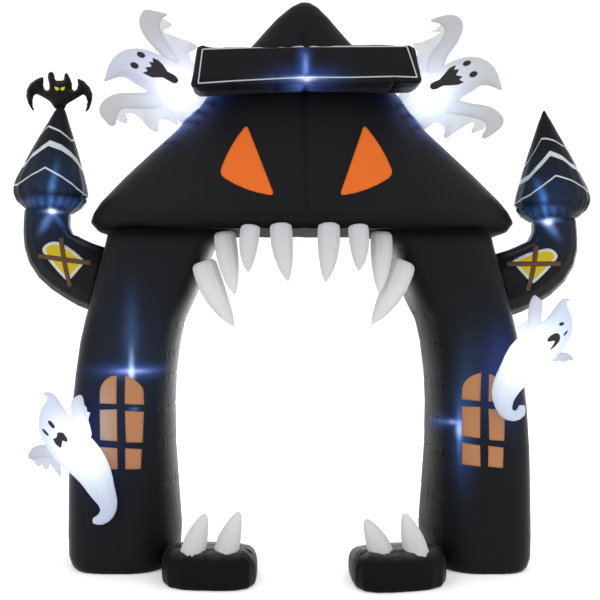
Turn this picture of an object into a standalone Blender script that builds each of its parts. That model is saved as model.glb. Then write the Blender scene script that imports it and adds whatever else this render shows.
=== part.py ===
"""An inflatable archway: a haunted house whose doorway is a fanged mouth.

Every piece is air-filled cloth in the shape that it takes when it is blown up. Sizes are in
metres, +X is to the right of someone who faces the arch, +Y leads through it and +Z is up.
Places are given as x, ahead and height: ahead is how far a point lies in front of the arch's
middle plane, on the side where the teeth and the sign are.
"""

import math
from collections import namedtuple

import bmesh
import bpy
import numpy as np
from mathutils import Vector
from mathutils.geometry import delaunay_2d_cdt

# ---------------------------------------------------------------- driving dimensions
MIDDLE_Y = 0.094  # the arch's middle plane stands this far behind the origin
ROOF_BASE = 1.576  # underside of the roof, and top of the doorway
SEAM_GAP = 0.0004  # two sewn pieces stay this far apart
PATCH = 0.0016  # thickness of a sewn-on panel with its seam allowance
CLOTH = 0.0026  # thickness of the hanging ghost cloth, hem included
PILLOW_RIM = 0.002  # half the thickness of a pillow's sewn edge
DOORWAY_SIDES = {"left": -1, "right": 1}

RoofSection = namedtuple("RoofSection", "height half_width half_depth centre")
ROOF = (
    RoofSection(1.576, 0.930, 0.318, 0.006),
    RoofSection(1.597, 0.985, 0.352, 0.006),
    RoofSection(1.633, 1.020, 0.377, 0.003),
    RoofSection(1.668, 1.002, 0.384, -0.002),
    RoofSection(1.720, 0.960, 0.380, -0.006),
    RoofSection(1.835, 0.847, 0.352, -0.008),
    RoofSection(1.953, 0.722, 0.312, -0.007),
    RoofSection(2.070, 0.596, 0.268, -0.004),
    RoofSection(2.187, 0.508, 0.228, 0.002),
    RoofSection(2.340, 0.373, 0.174, 0.006),
    RoofSection(2.500, 0.229, 0.120, 0.008),
    RoofSection(2.617, 0.127, 0.080, 0.008),
    RoofSection(2.670, 0.070, 0.052, 0.008),
    RoofSection(2.695, 0.030, 0.026, 0.008),
    RoofSection(2.700, 0.012, 0.010, 0.008),
)
ROOF_BOXINESS = 3.0
ROOF_CREASE = 0.014  # depth of the sewn crease down the middle of the roof

LegSection = namedtuple("LegSection", "height outer inner half_depth")
LEG = (
    LegSection(0.000, 1.061, 0.621, 0.303),
    LegSection(0.012, 1.075, 0.606, 0.316),
    LegSection(0.050, 1.089, 0.591, 0.320),
    LegSection(0.150, 1.094, 0.585, 0.312),
    LegSection(0.350, 1.094, 0.599, 0.300),
    LegSection(0.550, 1.090, 0.613, 0.300),
    LegSection(0.750, 1.076, 0.617, 0.300),
    LegSection(0.900, 1.060, 0.610, 0.298),
    LegSection(1.050, 1.039, 0.591, 0.296),
    LegSection(1.150, 1.017, 0.570, 0.294),
    LegSection(1.310, 0.975, 0.500, 0.291),
    LegSection(1.430, 0.943, 0.451, 0.290),
    LegSection(1.500, 0.925, 0.423, 0.290),
    LegSection(1.545, 0.915, 0.378, 0.290),
    LegSection(ROOF_BASE - SEAM_GAP, 0.905, 0.303, 0.290),
)
LEG_BOXINESS = 3.6
LEG_OUTER_SHIFT = -0.015  # the legs' outer sides lie this far left of even
LEG_INNER_SHIFT = 0.004  # and their doorway sides this far right of it
LEG_CREASES = (0.30, 0.47, 0.66, 0.86, 1.02, 1.17)  # seams across the doorway side
LEG_CREASE = 0.005
LEG_CREASE_REACH = 0.022

PathPoint = namedtuple("PathPoint", "x height radius")
TOWERS = {
    "left": (
        PathPoint(-0.900, 1.318, 0.152),
        PathPoint(-0.995, 1.353, 0.160),
        PathPoint(-1.083, 1.394, 0.152),
        PathPoint(-1.163, 1.445, 0.144),
        PathPoint(-1.214, 1.510, 0.132),
        PathPoint(-1.235, 1.580, 0.1165),
        PathPoint(-1.236, 1.640, 0.1125),
        PathPoint(-1.231, 1.720, 0.1120),
    ),
    "right": (
        PathPoint(0.900, 1.292, 0.150),
        PathPoint(0.992, 1.324, 0.157),
        PathPoint(1.086, 1.364, 0.150),
        PathPoint(1.168, 1.417, 0.141),
        PathPoint(1.220, 1.487, 0.128),
        PathPoint(1.237, 1.558, 0.111),
        PathPoint(1.237, 1.620, 0.105),
        PathPoint(1.233, 1.675, 0.104),
    ),
}

TurretPoint = namedtuple("TurretPoint", "along radius")
TURRET = (
    TurretPoint(0.447, 0.000),
    TurretPoint(0.443, 0.007),
    TurretPoint(0.405, 0.029),
    TurretPoint(0.348, 0.053),
    TurretPoint(0.290, 0.079),
    TurretPoint(0.232, 0.104),
    TurretPoint(0.175, 0.127),
    TurretPoint(0.115, 0.150),
    TurretPoint(0.055, 0.173),
    TurretPoint(0.015, 0.182),
    TurretPoint(-0.015, 0.178),
    TurretPoint(-0.050, 0.158),
    TurretPoint(-0.080, 0.120),
    TurretPoint(-0.098, 0.066),
    TurretPoint(-0.103, 0.000),
)
TurretPlace = namedtuple("TurretPlace", "x height lean width")
TURRET_PLACES = {
    "left": TurretPlace(-1.2195, 1.764, 0.115, 1.000),
    "right": TurretPlace(1.2285, 1.720, -0.088, 0.980),
}
TURRET_STEPS = 16

BAT = (  # its outline, x and height
    (-1.200, 2.184), (-1.225, 2.220), (-1.263, 2.243), (-1.290, 2.255), (-1.303, 2.247),
    (-1.309, 2.223), (-1.306, 2.193), (-1.297, 2.170), (-1.312, 2.178), (-1.329, 2.206),
    (-1.340, 2.244), (-1.337, 2.277), (-1.321, 2.306), (-1.296, 2.325), (-1.271, 2.337),
    (-1.257, 2.340), (-1.255, 2.327), (-1.256, 2.294), (-1.250, 2.278), (-1.238, 2.272),
    (-1.227, 2.278), (-1.227, 2.302), (-1.235, 2.335), (-1.232, 2.356), (-1.221, 2.366),
    (-1.210, 2.363), (-1.202, 2.348), (-1.200, 2.329), (-1.192, 2.321), (-1.162, 2.322),
    (-1.155, 2.329), (-1.154, 2.348), (-1.148, 2.360), (-1.138, 2.356), (-1.125, 2.331),
    (-1.116, 2.306), (-1.116, 2.281), (-1.107, 2.271), (-1.093, 2.278), (-1.087, 2.302),
    (-1.090, 2.326), (-1.084, 2.331), (-1.058, 2.319), (-1.030, 2.289), (-1.016, 2.256),
    (-1.018, 2.223), (-1.029, 2.186), (-1.045, 2.168), (-1.052, 2.170), (-1.045, 2.193),
    (-1.042, 2.223), (-1.051, 2.247), (-1.063, 2.253), (-1.092, 2.235), (-1.125, 2.216),
    (-1.142, 2.205), (-1.151, 2.184),
)
BAT_CELL = 0.018
BAT_GIRTH = 0.045  # this far in from its edge it is at its fullest
BAT_FULLNESS = 0.034  # from its middle to its front there

SignSection = namedtuple("SignSection", "x swell lean")
SIGN = (
    SignSection(-0.503, 0.60, -0.18),
    SignSection(-0.494, 0.90, -0.17),
    SignSection(-0.470, 1.04, -0.15),
    SignSection(-0.400, 1.05, -0.10),
    SignSection(-0.250, 1.02, -0.05),
    SignSection(-0.100, 1.02, 0.00),
    SignSection(-0.010, 1.01, 0.00),
    SignSection(0.012, 0.95, 0.00),
    SignSection(0.034, 1.01, 0.00),
    SignSection(0.130, 1.03, 0.03),
    SignSection(0.270, 1.04, 0.08),
    SignSection(0.410, 1.05, 0.16),
    SignSection(0.486, 1.03, 0.22),
    SignSection(0.510, 0.88, 0.25),
    SignSection(0.519, 0.60, 0.26),
)
SIGN_BOTTOM = 2.216
SIGN_TOP = 2.390
SIGN_FRONT = 0.366
SIGN_BACK = 0.120
SIGN_BOXINESS = 6.0
SIGN_RISE = 0.018  # the right end hangs this much higher than the left

FootRing = namedtuple("FootRing", "height spread")
FOOT = (
    FootRing(0.000, 0.940),
    FootRing(0.010, 0.975),
    FootRing(0.040, 0.995),
    FootRing(0.080, 0.995),
    FootRing(0.112, 0.968),
    FootRing(0.135, 0.905),
    FootRing(0.152, 0.800),
    FootRing(0.163, 0.600),
    FootRing(0.167, 0.300),
)
FootPlace = namedtuple("FootPlace", "x ahead skew")
FEET = {
    "left": FootPlace(-0.428, 0.330, -0.06),
    "right": FootPlace(0.414, 0.345, 0.19),
}
FOOT_HALF_WIDTH = 0.216
FOOT_HALF_DEPTH = 0.232
FOOT_BOXINESS = 3.6
FOOT_BACK_DROP = 0.46  # how much lower the pod is at its back edge

TopTooth = namedtuple("TopTooth", "root_x root_height root_ahead tip_x tip_height width bow")
TOP_TEETH = (
    TopTooth(-0.463, 1.428, 0.230, -0.318, 1.130, 0.124, 0.017),
    TopTooth(-0.366, 1.566, 0.238, -0.315, 1.271, 0.108, 0.004),
    TopTooth(-0.242, 1.592, 0.322, -0.255, 1.373, 0.095, 0.006),
    TopTooth(-0.109, 1.599, 0.332, -0.074, 1.333, 0.106, 0.006),
    TopTooth(0.109, 1.600, 0.332, 0.094, 1.328, 0.106, 0.006),
    TopTooth(0.241, 1.594, 0.325, 0.244, 1.379, 0.097, 0.006),
    TopTooth(0.362, 1.566, 0.234, 0.336, 1.279, 0.104, 0.004),
    TopTooth(0.470, 1.431, 0.219, 0.301, 1.139, 0.122, 0.016),
)
TOP_TEETH_TIP_AHEAD = 0.345
ToothRing = namedtuple("ToothRing", "along swell")
TOP_TOOTH = (
    ToothRing(0.00, 0.64),
    ToothRing(0.02, 0.84),
    ToothRing(0.06, 0.96),
    ToothRing(0.15, 1.00),
    ToothRing(0.38, 0.97),
    ToothRing(0.58, 0.83),
    ToothRing(0.75, 0.62),
    ToothRing(0.88, 0.38),
    ToothRing(0.97, 0.14),
    ToothRing(1.00, 0.05),
)

LowTooth = namedtuple("LowTooth", "side base_x tip_x tip_height")
LOW_TEETH = (
    LowTooth("left", -0.503, -0.442, 0.312),
    LowTooth("left", -0.359, -0.294, 0.321),
    LowTooth("right", 0.334, 0.258, 0.291),
    LowTooth("right", 0.484, 0.426, 0.317),
)
LOW_TEETH_BASE = 0.120
LOW_TEETH_AHEAD = {"left": 0.470, "right": 0.478}
LOW_TOOTH_WIDTH = 0.114
LOW_TOOTH = (
    ToothRing(0.00, 0.96),
    ToothRing(0.16, 1.00),
    ToothRing(0.40, 0.92),
    ToothRing(0.62, 0.74),
    ToothRing(0.82, 0.50),
    ToothRing(0.95, 0.29),
    ToothRing(1.00, 0.12),
)
TOOTH_FLATNESS = 0.80  # depth of a tooth for its width

# A corner of a cut-out panel: how far its rounding reaches along both edges, and how far the
# edge to the next corner bulges, for its length.
Corner = namedtuple("Corner", "x height reach bulge")
EYE = (
    Corner(0.270, 2.056, 0.022, 0.050),
    Corner(0.394, 1.816, 0.030, 0.070),
    Corner(0.146, 1.716, 0.022, 0.000),
)

EYE_MIDDLE = 0.008  # the eyes' middle lies this far right of the doorway's

PANES = {  # three rows of two, from the top; the top pair makes a round arch
    "left": (
        (
            (-0.932, 0.778), (-0.932, 0.834), (-0.926, 0.857), (-0.913, 0.878), (-0.896, 0.893),
            (-0.877, 0.902), (-0.855, 0.905), (-0.856, 0.774),
        ),
        (
            (-0.818, 0.775), (-0.816, 0.904), (-0.801, 0.898), (-0.774, 0.884), (-0.751, 0.865),
            (-0.738, 0.848), (-0.734, 0.832), (-0.732, 0.770),
        ),
        (
            (-0.932, 0.748), (-0.854, 0.751), (-0.852, 0.605), (-0.930, 0.611),
        ),
        (
            (-0.817, 0.744), (-0.733, 0.737), (-0.738, 0.597), (-0.812, 0.600),
        ),
        (
            (-0.930, 0.579), (-0.852, 0.573), (-0.851, 0.477), (-0.928, 0.479),
        ),
        (
            (-0.816, 0.573), (-0.742, 0.567), (-0.746, 0.477), (-0.815, 0.477),
        ),
    ),
    "right": (
        (
            (0.723, 0.795), (0.725, 0.848), (0.731, 0.867), (0.744, 0.886), (0.765, 0.903),
            (0.788, 0.912), (0.808, 0.917), (0.803, 0.788),
        ),
        (
            (0.841, 0.787), (0.844, 0.912), (0.860, 0.907), (0.881, 0.894), (0.898, 0.877),
            (0.912, 0.859), (0.917, 0.841), (0.917, 0.784),
        ),
        (
            (0.723, 0.762), (0.803, 0.762), (0.802, 0.619), (0.726, 0.627),
        ),
        (
            (0.841, 0.753), (0.916, 0.750), (0.912, 0.607), (0.844, 0.611),
        ),
        (
            (0.725, 0.596), (0.802, 0.586), (0.804, 0.490), (0.724, 0.497),
        ),
        (
            (0.840, 0.584), (0.909, 0.576), (0.906, 0.483), (0.839, 0.489),
        ),
    ),
}

LANTERNS = {
    "left": (
        Corner(-1.238, 1.489, 0.020, 0.03),
        Corner(-1.185, 1.538, 0.045, 0.06),
        Corner(-1.026, 1.430, 0.010, 0.03),
        Corner(-1.109, 1.335, 0.020, 0.03),
    ),
    "right": (
        Corner(0.998, 1.432, 0.010, 0.06),
        Corner(1.186, 1.497, 0.026, 0.03),
        Corner(1.216, 1.455, 0.016, 0.03),
        Corner(1.089, 1.322, 0.020, 0.03),
    ),
}
Bar = namedtuple("Bar", "x1 height1 x2 height2")
LANTERN_BARS = {
    "left": (Bar(-1.147, 1.545, -1.100, 1.312), Bar(-1.252, 1.458, -1.000, 1.423)),
    "right": (Bar(1.121, 1.511, 1.066, 1.294), Bar(0.972, 1.420, 1.228, 1.421)),
}
BAR_WIDTH = 0.022

GHOST_FLATNESS = 0.92
TOP_GHOST_AHEAD = 0.05
SIDE_GHOST_AHEAD = {"left": 0.362, "right": 0.345}
GHOSTS = {
    "ghost_top_left": (
        PathPoint(-0.950, 2.306, 0.005),
        PathPoint(-0.922, 2.336, 0.024),
        PathPoint(-0.884, 2.370, 0.051),
        PathPoint(-0.832, 2.386, 0.075),
        PathPoint(-0.771, 2.373, 0.088),
        PathPoint(-0.706, 2.342, 0.093),
        PathPoint(-0.638, 2.294, 0.104),
        PathPoint(-0.575, 2.244, 0.113),
        PathPoint(-0.517, 2.191, 0.112),
        PathPoint(-0.459, 2.133, 0.097),
    ),
    "ghost_top_right": (
        PathPoint(0.970, 2.263, 0.005),
        PathPoint(0.942, 2.295, 0.024),
        PathPoint(0.906, 2.328, 0.051),
        PathPoint(0.856, 2.344, 0.075),
        PathPoint(0.798, 2.335, 0.088),
        PathPoint(0.734, 2.303, 0.092),
        PathPoint(0.671, 2.262, 0.098),
        PathPoint(0.608, 2.215, 0.109),
        PathPoint(0.550, 2.167, 0.112),
        PathPoint(0.488, 2.114, 0.097),
    ),
    "ghost_side_left": (
        PathPoint(-1.178, 0.830, 0.005),
        PathPoint(-1.152, 0.824, 0.013),
        PathPoint(-1.136, 0.798, 0.027),
        PathPoint(-1.135, 0.755, 0.054),
        PathPoint(-1.126, 0.694, 0.075),
        PathPoint(-1.091, 0.636, 0.085),
        PathPoint(-1.040, 0.579, 0.092),
        PathPoint(-0.983, 0.524, 0.086),
        PathPoint(-0.941, 0.461, 0.075),
        PathPoint(-0.914, 0.396, 0.060),
        PathPoint(-0.893, 0.337, 0.045),
        PathPoint(-0.900, 0.290, 0.033),
        PathPoint(-0.928, 0.263, 0.026),
        PathPoint(-0.959, 0.257, 0.013),
    ),
    "ghost_side_right": (
        PathPoint(1.195, 1.251, 0.005),
        PathPoint(1.172, 1.244, 0.013),
        PathPoint(1.162, 1.220, 0.025),
        PathPoint(1.156, 1.176, 0.049),
        PathPoint(1.141, 1.124, 0.068),
        PathPoint(1.103, 1.079, 0.080),
        PathPoint(1.050, 1.036, 0.089),
        PathPoint(0.995, 0.983, 0.088),
        PathPoint(0.951, 0.919, 0.073),
        PathPoint(0.917, 0.856, 0.056),
        PathPoint(0.901, 0.797, 0.041),
        PathPoint(0.910, 0.750, 0.031),
        PathPoint(0.941, 0.732, 0.026),
        PathPoint(0.974, 0.746, 0.023),
        PathPoint(0.978, 0.776, 0.014),
    ),
}

SLEEVE_CELL = 0.032
SLEEVE_GIRTH = 0.045
SLEEVE_FULLNESS = 0.024
SLEEVES = {
    "arm_top_left_high": (
        (-0.641, 2.629), (-0.672, 2.638), (-0.715, 2.647), (-0.747, 2.653), (-0.762, 2.647),
        (-0.777, 2.625), (-0.783, 2.597), (-0.779, 2.568), (-0.766, 2.537), (-0.740, 2.500),
        (-0.701, 2.457), (-0.662, 2.418), (-0.624, 2.389), (-0.585, 2.399), (-0.609, 2.438),
        (-0.636, 2.476), (-0.660, 2.515), (-0.677, 2.549), (-0.683, 2.578), (-0.679, 2.600),
        (-0.665, 2.614),
    ),
    "arm_top_left_low": (
        (-0.682, 2.264), (-0.740, 2.254), (-0.798, 2.249), (-0.865, 2.250), (-0.909, 2.241),
        (-0.947, 2.220), (-0.971, 2.191), (-0.976, 2.162), (-0.967, 2.136), (-0.943, 2.111),
        (-0.925, 2.090), (-0.897, 2.092), (-0.893, 2.124), (-0.885, 2.153), (-0.868, 2.172),
        (-0.836, 2.177), (-0.778, 2.171), (-0.720, 2.172), (-0.662, 2.182), (-0.604, 2.196),
        (-0.595, 2.235), (-0.633, 2.264),
    ),
    "arm_top_right_high": (
        (0.625, 2.600), (0.628, 2.595), (0.653, 2.590), (0.672, 2.584), (0.689, 2.569),
        (0.695, 2.551), (0.688, 2.524), (0.669, 2.492), (0.638, 2.455), (0.614, 2.412),
        (0.602, 2.370), (0.623, 2.326), (0.681, 2.341), (0.693, 2.389), (0.706, 2.423),
        (0.730, 2.457), (0.757, 2.493), (0.775, 2.532), (0.783, 2.563), (0.781, 2.590),
        (0.768, 2.612), (0.744, 2.625), (0.712, 2.627), (0.681, 2.621), (0.650, 2.612),
    ),
    "arm_top_right_low": (
        (0.676, 2.211), (0.723, 2.227), (0.768, 2.213), (0.831, 2.196), (0.874, 2.193),
        (0.921, 2.180), (0.953, 2.159), (0.975, 2.135), (0.980, 2.110), (0.969, 2.086),
        (0.937, 2.058), (0.905, 2.037), (0.885, 2.027), (0.874, 2.034), (0.877, 2.051),
        (0.892, 2.070), (0.897, 2.092), (0.890, 2.107), (0.860, 2.123), (0.802, 2.137),
        (0.736, 2.146), (0.671, 2.153), (0.633, 2.172), (0.642, 2.206),
    ),
    "arm_side_left_high": (
        (-1.048, 0.710), (-1.051, 0.755), (-1.051, 0.785), (-1.044, 0.803), (-1.029, 0.816),
        (-1.012, 0.824), (-1.001, 0.819), (-0.995, 0.804), (-0.992, 0.780), (-0.985, 0.755),
        (-0.976, 0.719), (-0.964, 0.678), (-0.955, 0.629), (-1.009, 0.620), (-1.045, 0.665),
    ),
    "arm_side_left_low": (
        (-1.135, 0.597), (-1.167, 0.600), (-1.198, 0.598), (-1.222, 0.588), (-1.238, 0.571),
        (-1.246, 0.550), (-1.242, 0.535), (-1.227, 0.530), (-1.202, 0.539), (-1.171, 0.544),
        (-1.135, 0.539), (-1.099, 0.526), (-1.063, 0.526), (-1.054, 0.575), (-1.090, 0.602),
    ),
    "arm_side_right_high": (
        (1.006, 1.114), (1.005, 1.168), (1.010, 1.211), (1.017, 1.244), (1.027, 1.263),
        (1.037, 1.272), (1.046, 1.267), (1.060, 1.256), (1.071, 1.241), (1.073, 1.220),
        (1.069, 1.186), (1.065, 1.154), (1.065, 1.114), (1.063, 1.060), (1.018, 1.041),
        (1.000, 1.078),
    ),
    "arm_side_right_low": (
        (1.054, 1.028), (1.090, 1.012), (1.117, 1.008), (1.139, 1.011), (1.162, 1.014),
        (1.185, 1.010), (1.200, 1.001), (1.212, 0.986), (1.213, 0.978), (1.204, 0.974),
        (1.191, 0.981), (1.166, 0.980), (1.135, 0.977), (1.103, 0.974), (1.072, 0.974),
        (1.045, 0.996),
    ),
}


# The cloth that hangs from each sleeve, cut in jags: a corner for each point and notch.
JAGGED_CLOTHS = {
    "arm_top_left_high": (
        (-0.682, 2.604), (-0.664, 2.606), (-0.643, 2.594), (-0.624, 2.583), (-0.630, 2.573),
        (-0.655, 2.560), (-0.663, 2.551), (-0.657, 2.539), (-0.628, 2.529), (-0.585, 2.515),
        (-0.537, 2.497), (-0.501, 2.477), (-0.510, 2.464), (-0.537, 2.453), (-0.545, 2.442),
        (-0.537, 2.418), (-0.522, 2.397), (-0.503, 2.370), (-0.537, 2.360), (-0.595, 2.380),
        (-0.653, 2.457), (-0.691, 2.525), (-0.701, 2.573),
    ),
    "arm_top_left_low": (
        (-0.896, 2.126), (-0.880, 2.113), (-0.856, 2.103), (-0.841, 2.106), (-0.841, 2.124),
        (-0.849, 2.151), (-0.827, 2.155), (-0.798, 2.144), (-0.769, 2.119), (-0.744, 2.090),
        (-0.725, 2.073), (-0.700, 2.062), (-0.689, 2.071), (-0.690, 2.095), (-0.687, 2.116),
        (-0.672, 2.123), (-0.643, 2.120), (-0.619, 2.107), (-0.600, 2.097), (-0.595, 2.104),
        (-0.607, 2.143), (-0.624, 2.196), (-0.682, 2.201), (-0.778, 2.191), (-0.856, 2.191),
        (-0.889, 2.162),
    ),
    "arm_top_right_high": (
        (0.676, 2.583), (0.666, 2.568), (0.652, 2.556), (0.621, 2.548), (0.657, 2.547),
        (0.674, 2.543), (0.659, 2.531), (0.627, 2.512), (0.584, 2.498), (0.544, 2.491),
        (0.539, 2.481), (0.557, 2.459), (0.564, 2.438), (0.555, 2.413), (0.562, 2.380),
        (0.579, 2.341), (0.608, 2.348), (0.637, 2.387), (0.677, 2.451), (0.717, 2.500),
        (0.731, 2.568), (0.700, 2.589),
    ),
    "arm_top_right_low": (
        (0.700, 2.160), (0.657, 2.160), (0.623, 2.150), (0.597, 2.126), (0.604, 2.111),
        (0.637, 2.108), (0.671, 2.102), (0.693, 2.090), (0.700, 2.070), (0.693, 2.049),
        (0.696, 2.032), (0.708, 2.034), (0.734, 2.053), (0.768, 2.077), (0.802, 2.097),
        (0.836, 2.111), (0.837, 2.096), (0.825, 2.070), (0.828, 2.055), (0.850, 2.064),
        (0.879, 2.074), (0.894, 2.089), (0.884, 2.119), (0.816, 2.145), (0.758, 2.157),
    ),
    "arm_side_left_high": (
        (-1.005, 0.809), (-0.989, 0.775), (-0.980, 0.764), (-0.980, 0.749), (-0.965, 0.742),
        (-0.970, 0.726), (-0.973, 0.710), (-0.962, 0.665), (-0.991, 0.665), (-1.014, 0.737),
    ),
    "arm_side_left_low": (
        (-1.234, 0.544), (-1.226, 0.531), (-1.212, 0.512), (-1.200, 0.499), (-1.190, 0.502),
        (-1.183, 0.510), (-1.177, 0.494), (-1.164, 0.484), (-1.151, 0.492), (-1.147, 0.510),
        (-1.140, 0.508), (-1.127, 0.487), (-1.113, 0.463), (-1.101, 0.447), (-1.095, 0.459),
        (-1.099, 0.491), (-1.099, 0.515), (-1.088, 0.509), (-1.079, 0.500), (-1.073, 0.512),
        (-1.078, 0.535), (-1.117, 0.562), (-1.171, 0.571), (-1.220, 0.566),
    ),
    "arm_side_right_high": (
        (1.018, 1.177), (1.004, 1.159), (0.985, 1.143), (0.960, 1.131), (0.958, 1.123),
        (0.963, 1.100), (1.000, 1.100), (1.031, 1.123),
    ),
    "arm_side_right_low": (
        (1.103, 0.992), (1.106, 0.980), (1.129, 0.970), (1.142, 0.973), (1.156, 0.969),
        (1.178, 0.969), (1.192, 0.977), (1.180, 0.994), (1.135, 0.996),
    ),
}


# ---------------------------------------------------------------- scene and materials
for old in list(bpy.data.objects):
    bpy.data.objects.remove(old, do_unlink=True)

ARCH = bpy.data.collections.new("Inflatable arch")
CUTTERS = bpy.data.collections.new("Cutters")
bpy.context.scene.collection.children.link(ARCH)
bpy.context.scene.collection.children.link(CUTTERS)


def cloth_material(name, colour, roughness, glow=0.0):
    """A woven polyester: its colour, and how strongly a lamp inside lights it up."""
    material = bpy.data.materials.new(name)
    material.use_nodes = True
    shader = material.node_tree.nodes["Principled BSDF"]
    shader.inputs["Base Color"].default_value = (*colour, 1.0)
    shader.inputs["Roughness"].default_value = roughness
    shader.inputs["Metallic"].default_value = 0.0
    shader.inputs["Emission Color"].default_value = (*colour, 1.0)
    shader.inputs["Emission Strength"].default_value = glow
    return material


BLACK = cloth_material("black polyester", (0.013, 0.013, 0.016), 0.55)
BONE = cloth_material("bone white polyester", (0.60, 0.60, 0.60), 0.65)
GHOST_WHITE = cloth_material("ghost white polyester", (0.85, 0.88, 0.92), 0.60, 0.3)
ORANGE = cloth_material("orange polyester", (0.80, 0.16, 0.02), 0.60)
TAN = cloth_material("tan polyester", (0.50, 0.25, 0.10), 0.65)
YELLOW = cloth_material("yellow polyester", (0.70, 0.54, 0.02), 0.60)
BROWN = cloth_material("brown polyester", (0.19, 0.10, 0.06), 0.70)


# ---------------------------------------------------------------- shapes
def place(x, ahead, height):
    """A point of the arch in the part's own frame."""
    return Vector((x, MIDDLE_Y - ahead, height))


def smoothed(table, stations, keys=None):
    """Rows on a smooth curve through a table's rows, at stations along the keys of those rows."""
    rows = np.array(table, float)
    keys = rows[:, 0] if keys is None else np.array(keys, float)
    slopes = np.gradient(rows, keys, axis=0)
    found = []
    for station in stations:
        i = int(np.clip(np.searchsorted(keys, station) - 1, 0, len(keys) - 2))
        span = keys[i + 1] - keys[i]
        t = (station - keys[i]) / span
        start = (1 + 2 * t) * (1 - t) ** 2 * rows[i] + t * (1 - t) ** 2 * span * slopes[i]
        end = t * t * (3 - 2 * t) * rows[i + 1] + t * t * (t - 1) * span * slopes[i + 1]
        found.append(type(table[0])(*(start + end)))
    return found


def mesh_from(shape, name):
    """The mesh of a bmesh, in triangles that all face outwards."""
    bmesh.ops.triangulate(shape, faces=shape.faces)
    bmesh.ops.recalc_face_normals(shape, faces=shape.faces)
    mesh = bpy.data.meshes.new(name)
    shape.to_mesh(mesh)
    shape.free()
    return mesh


def rounded(centre, across, along, boxiness, turns):
    """A ring round a centre with these half-size vectors: an ellipse at 2, boxier above it."""
    ring = []
    for turn in turns:
        c, s = math.cos(turn), math.sin(turn)
        reach = (abs(c) ** boxiness + abs(s) ** boxiness) ** (-1 / boxiness)
        ring.append(centre + across * (c * reach) + along * (s * reach))
    return ring


def even_turns(sides):
    return [math.tau * i / sides for i in range(sides)]


def loft(name, rings):
    """A closed mesh through rings of equally many points, its first and last ring filled."""
    shape = bmesh.new()
    loops = [[shape.verts.new(point) for point in ring] for ring in rings]
    for lower, upper in zip(loops, loops[1:]):
        for i in range(len(lower)):
            j = (i + 1) % len(lower)
            shape.faces.new((lower[i], lower[j], upper[j], upper[i]))
    shape.faces.new(list(reversed(loops[0])))
    shape.faces.new(loops[-1])
    return mesh_from(shape, name)


def mesh_of_curve(curve, name):
    """A curve's surface as a closed mesh in the part's frame; the curve is removed."""
    guide = bpy.data.objects.new(name, curve)
    CUTTERS.objects.link(guide)
    if curve.dimensions == "2D":
        guide.rotation_euler = (math.radians(90), 0, 0)
    bpy.context.view_layer.update()
    graph = bpy.context.evaluated_depsgraph_get()
    mesh = bpy.data.meshes.new_from_object(guide.evaluated_get(graph))
    mesh.transform(guide.matrix_world)
    bpy.data.objects.remove(guide)
    bpy.data.curves.remove(curve)
    shape = bmesh.new()
    shape.from_mesh(mesh)
    bmesh.ops.remove_doubles(shape, verts=shape.verts, dist=0.00001)
    bpy.data.meshes.remove(mesh)
    return mesh_from(shape, name)


def tube(name, path, ahead, steps, resolution, flatness=1.0):
    """An inflated tube along a path of x, height and radius, all in one upright plane."""
    stations = np.linspace(0, len(path) - 1, steps)
    rows = smoothed(path, stations, range(len(path)))
    curve = bpy.data.curves.new(name, "CURVE")
    curve.dimensions = "3D"
    curve.bevel_depth = 1.0
    curve.bevel_resolution = resolution
    curve.use_fill_caps = True
    spline = curve.splines.new("POLY")
    spline.points.add(len(rows) - 1)
    for point, row in zip(spline.points, rows):
        point.co = (row.x, 0.0, row.height, 1.0)
        point.radius = row.radius
    mesh = mesh_of_curve(curve, name)
    for vertex in mesh.vertices:
        vertex.co.y = MIDDLE_Y - ahead + vertex.co.y * flatness
    return mesh


def corner_points(corners):
    """The outline of a panel: each corner rounded, each edge bulged, as its corner says."""
    count = len(corners)
    centre = sum((Vector((c.x, c.height)) for c in corners), Vector((0, 0))) / count

    def edge(i, t):
        a = Vector((corners[i].x, corners[i].height))
        b = Vector((corners[(i + 1) % count].x, corners[(i + 1) % count].height))
        out = Vector((b.y - a.y, a.x - b.x))
        if out.dot((a + b) / 2 - centre) < 0:
            out = -out
        return a.lerp(b, t) + out * corners[i].bulge * 4 * t * (1 - t)

    def length(i):
        a, b = corners[i], corners[(i + 1) % count]
        return math.hypot(b.x - a.x, b.height - a.height)

    outline = []
    for i, corner in enumerate(corners):
        before = (i - 1) % count
        tip = Vector((corner.x, corner.height))
        if not corner.reach:
            outline.append(tip)
            continue
        start = edge(before, 1 - corner.reach / length(before))
        end = edge(i, corner.reach / length(i))
        for t in (0.0, 0.25, 0.5, 0.75, 1.0):
            outline.append(start.lerp(tip, t).lerp(tip.lerp(end, t), t))
        if corner.bulge:
            last = 1 - corners[(i + 1) % count].reach / length(i)
            first = corner.reach / length(i)
            outline += [edge(i, first + (last - first) * t) for t in (0.25, 0.5, 0.75)]
    return outline


def eased(outline):
    """A closed outline with each corner cut to two, a quarter of the way along its edges."""
    points = [Vector(p) for p in outline]
    pairs = zip(points, points[1:] + points[:1])
    return [spot for a, b in pairs for spot in (a.lerp(b, 0.25), a.lerp(b, 0.75))]


def rim_gap(point, outline):
    """How far a point lies from a closed outline."""
    gaps = []
    for a, b in zip(outline, outline[1:] + outline[:1]):
        share = (point - a).dot(b - a) / (b - a).length_squared
        gaps.append((point - a.lerp(b, min(1.0, max(0.0, share)))).length)
    return min(gaps)


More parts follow.
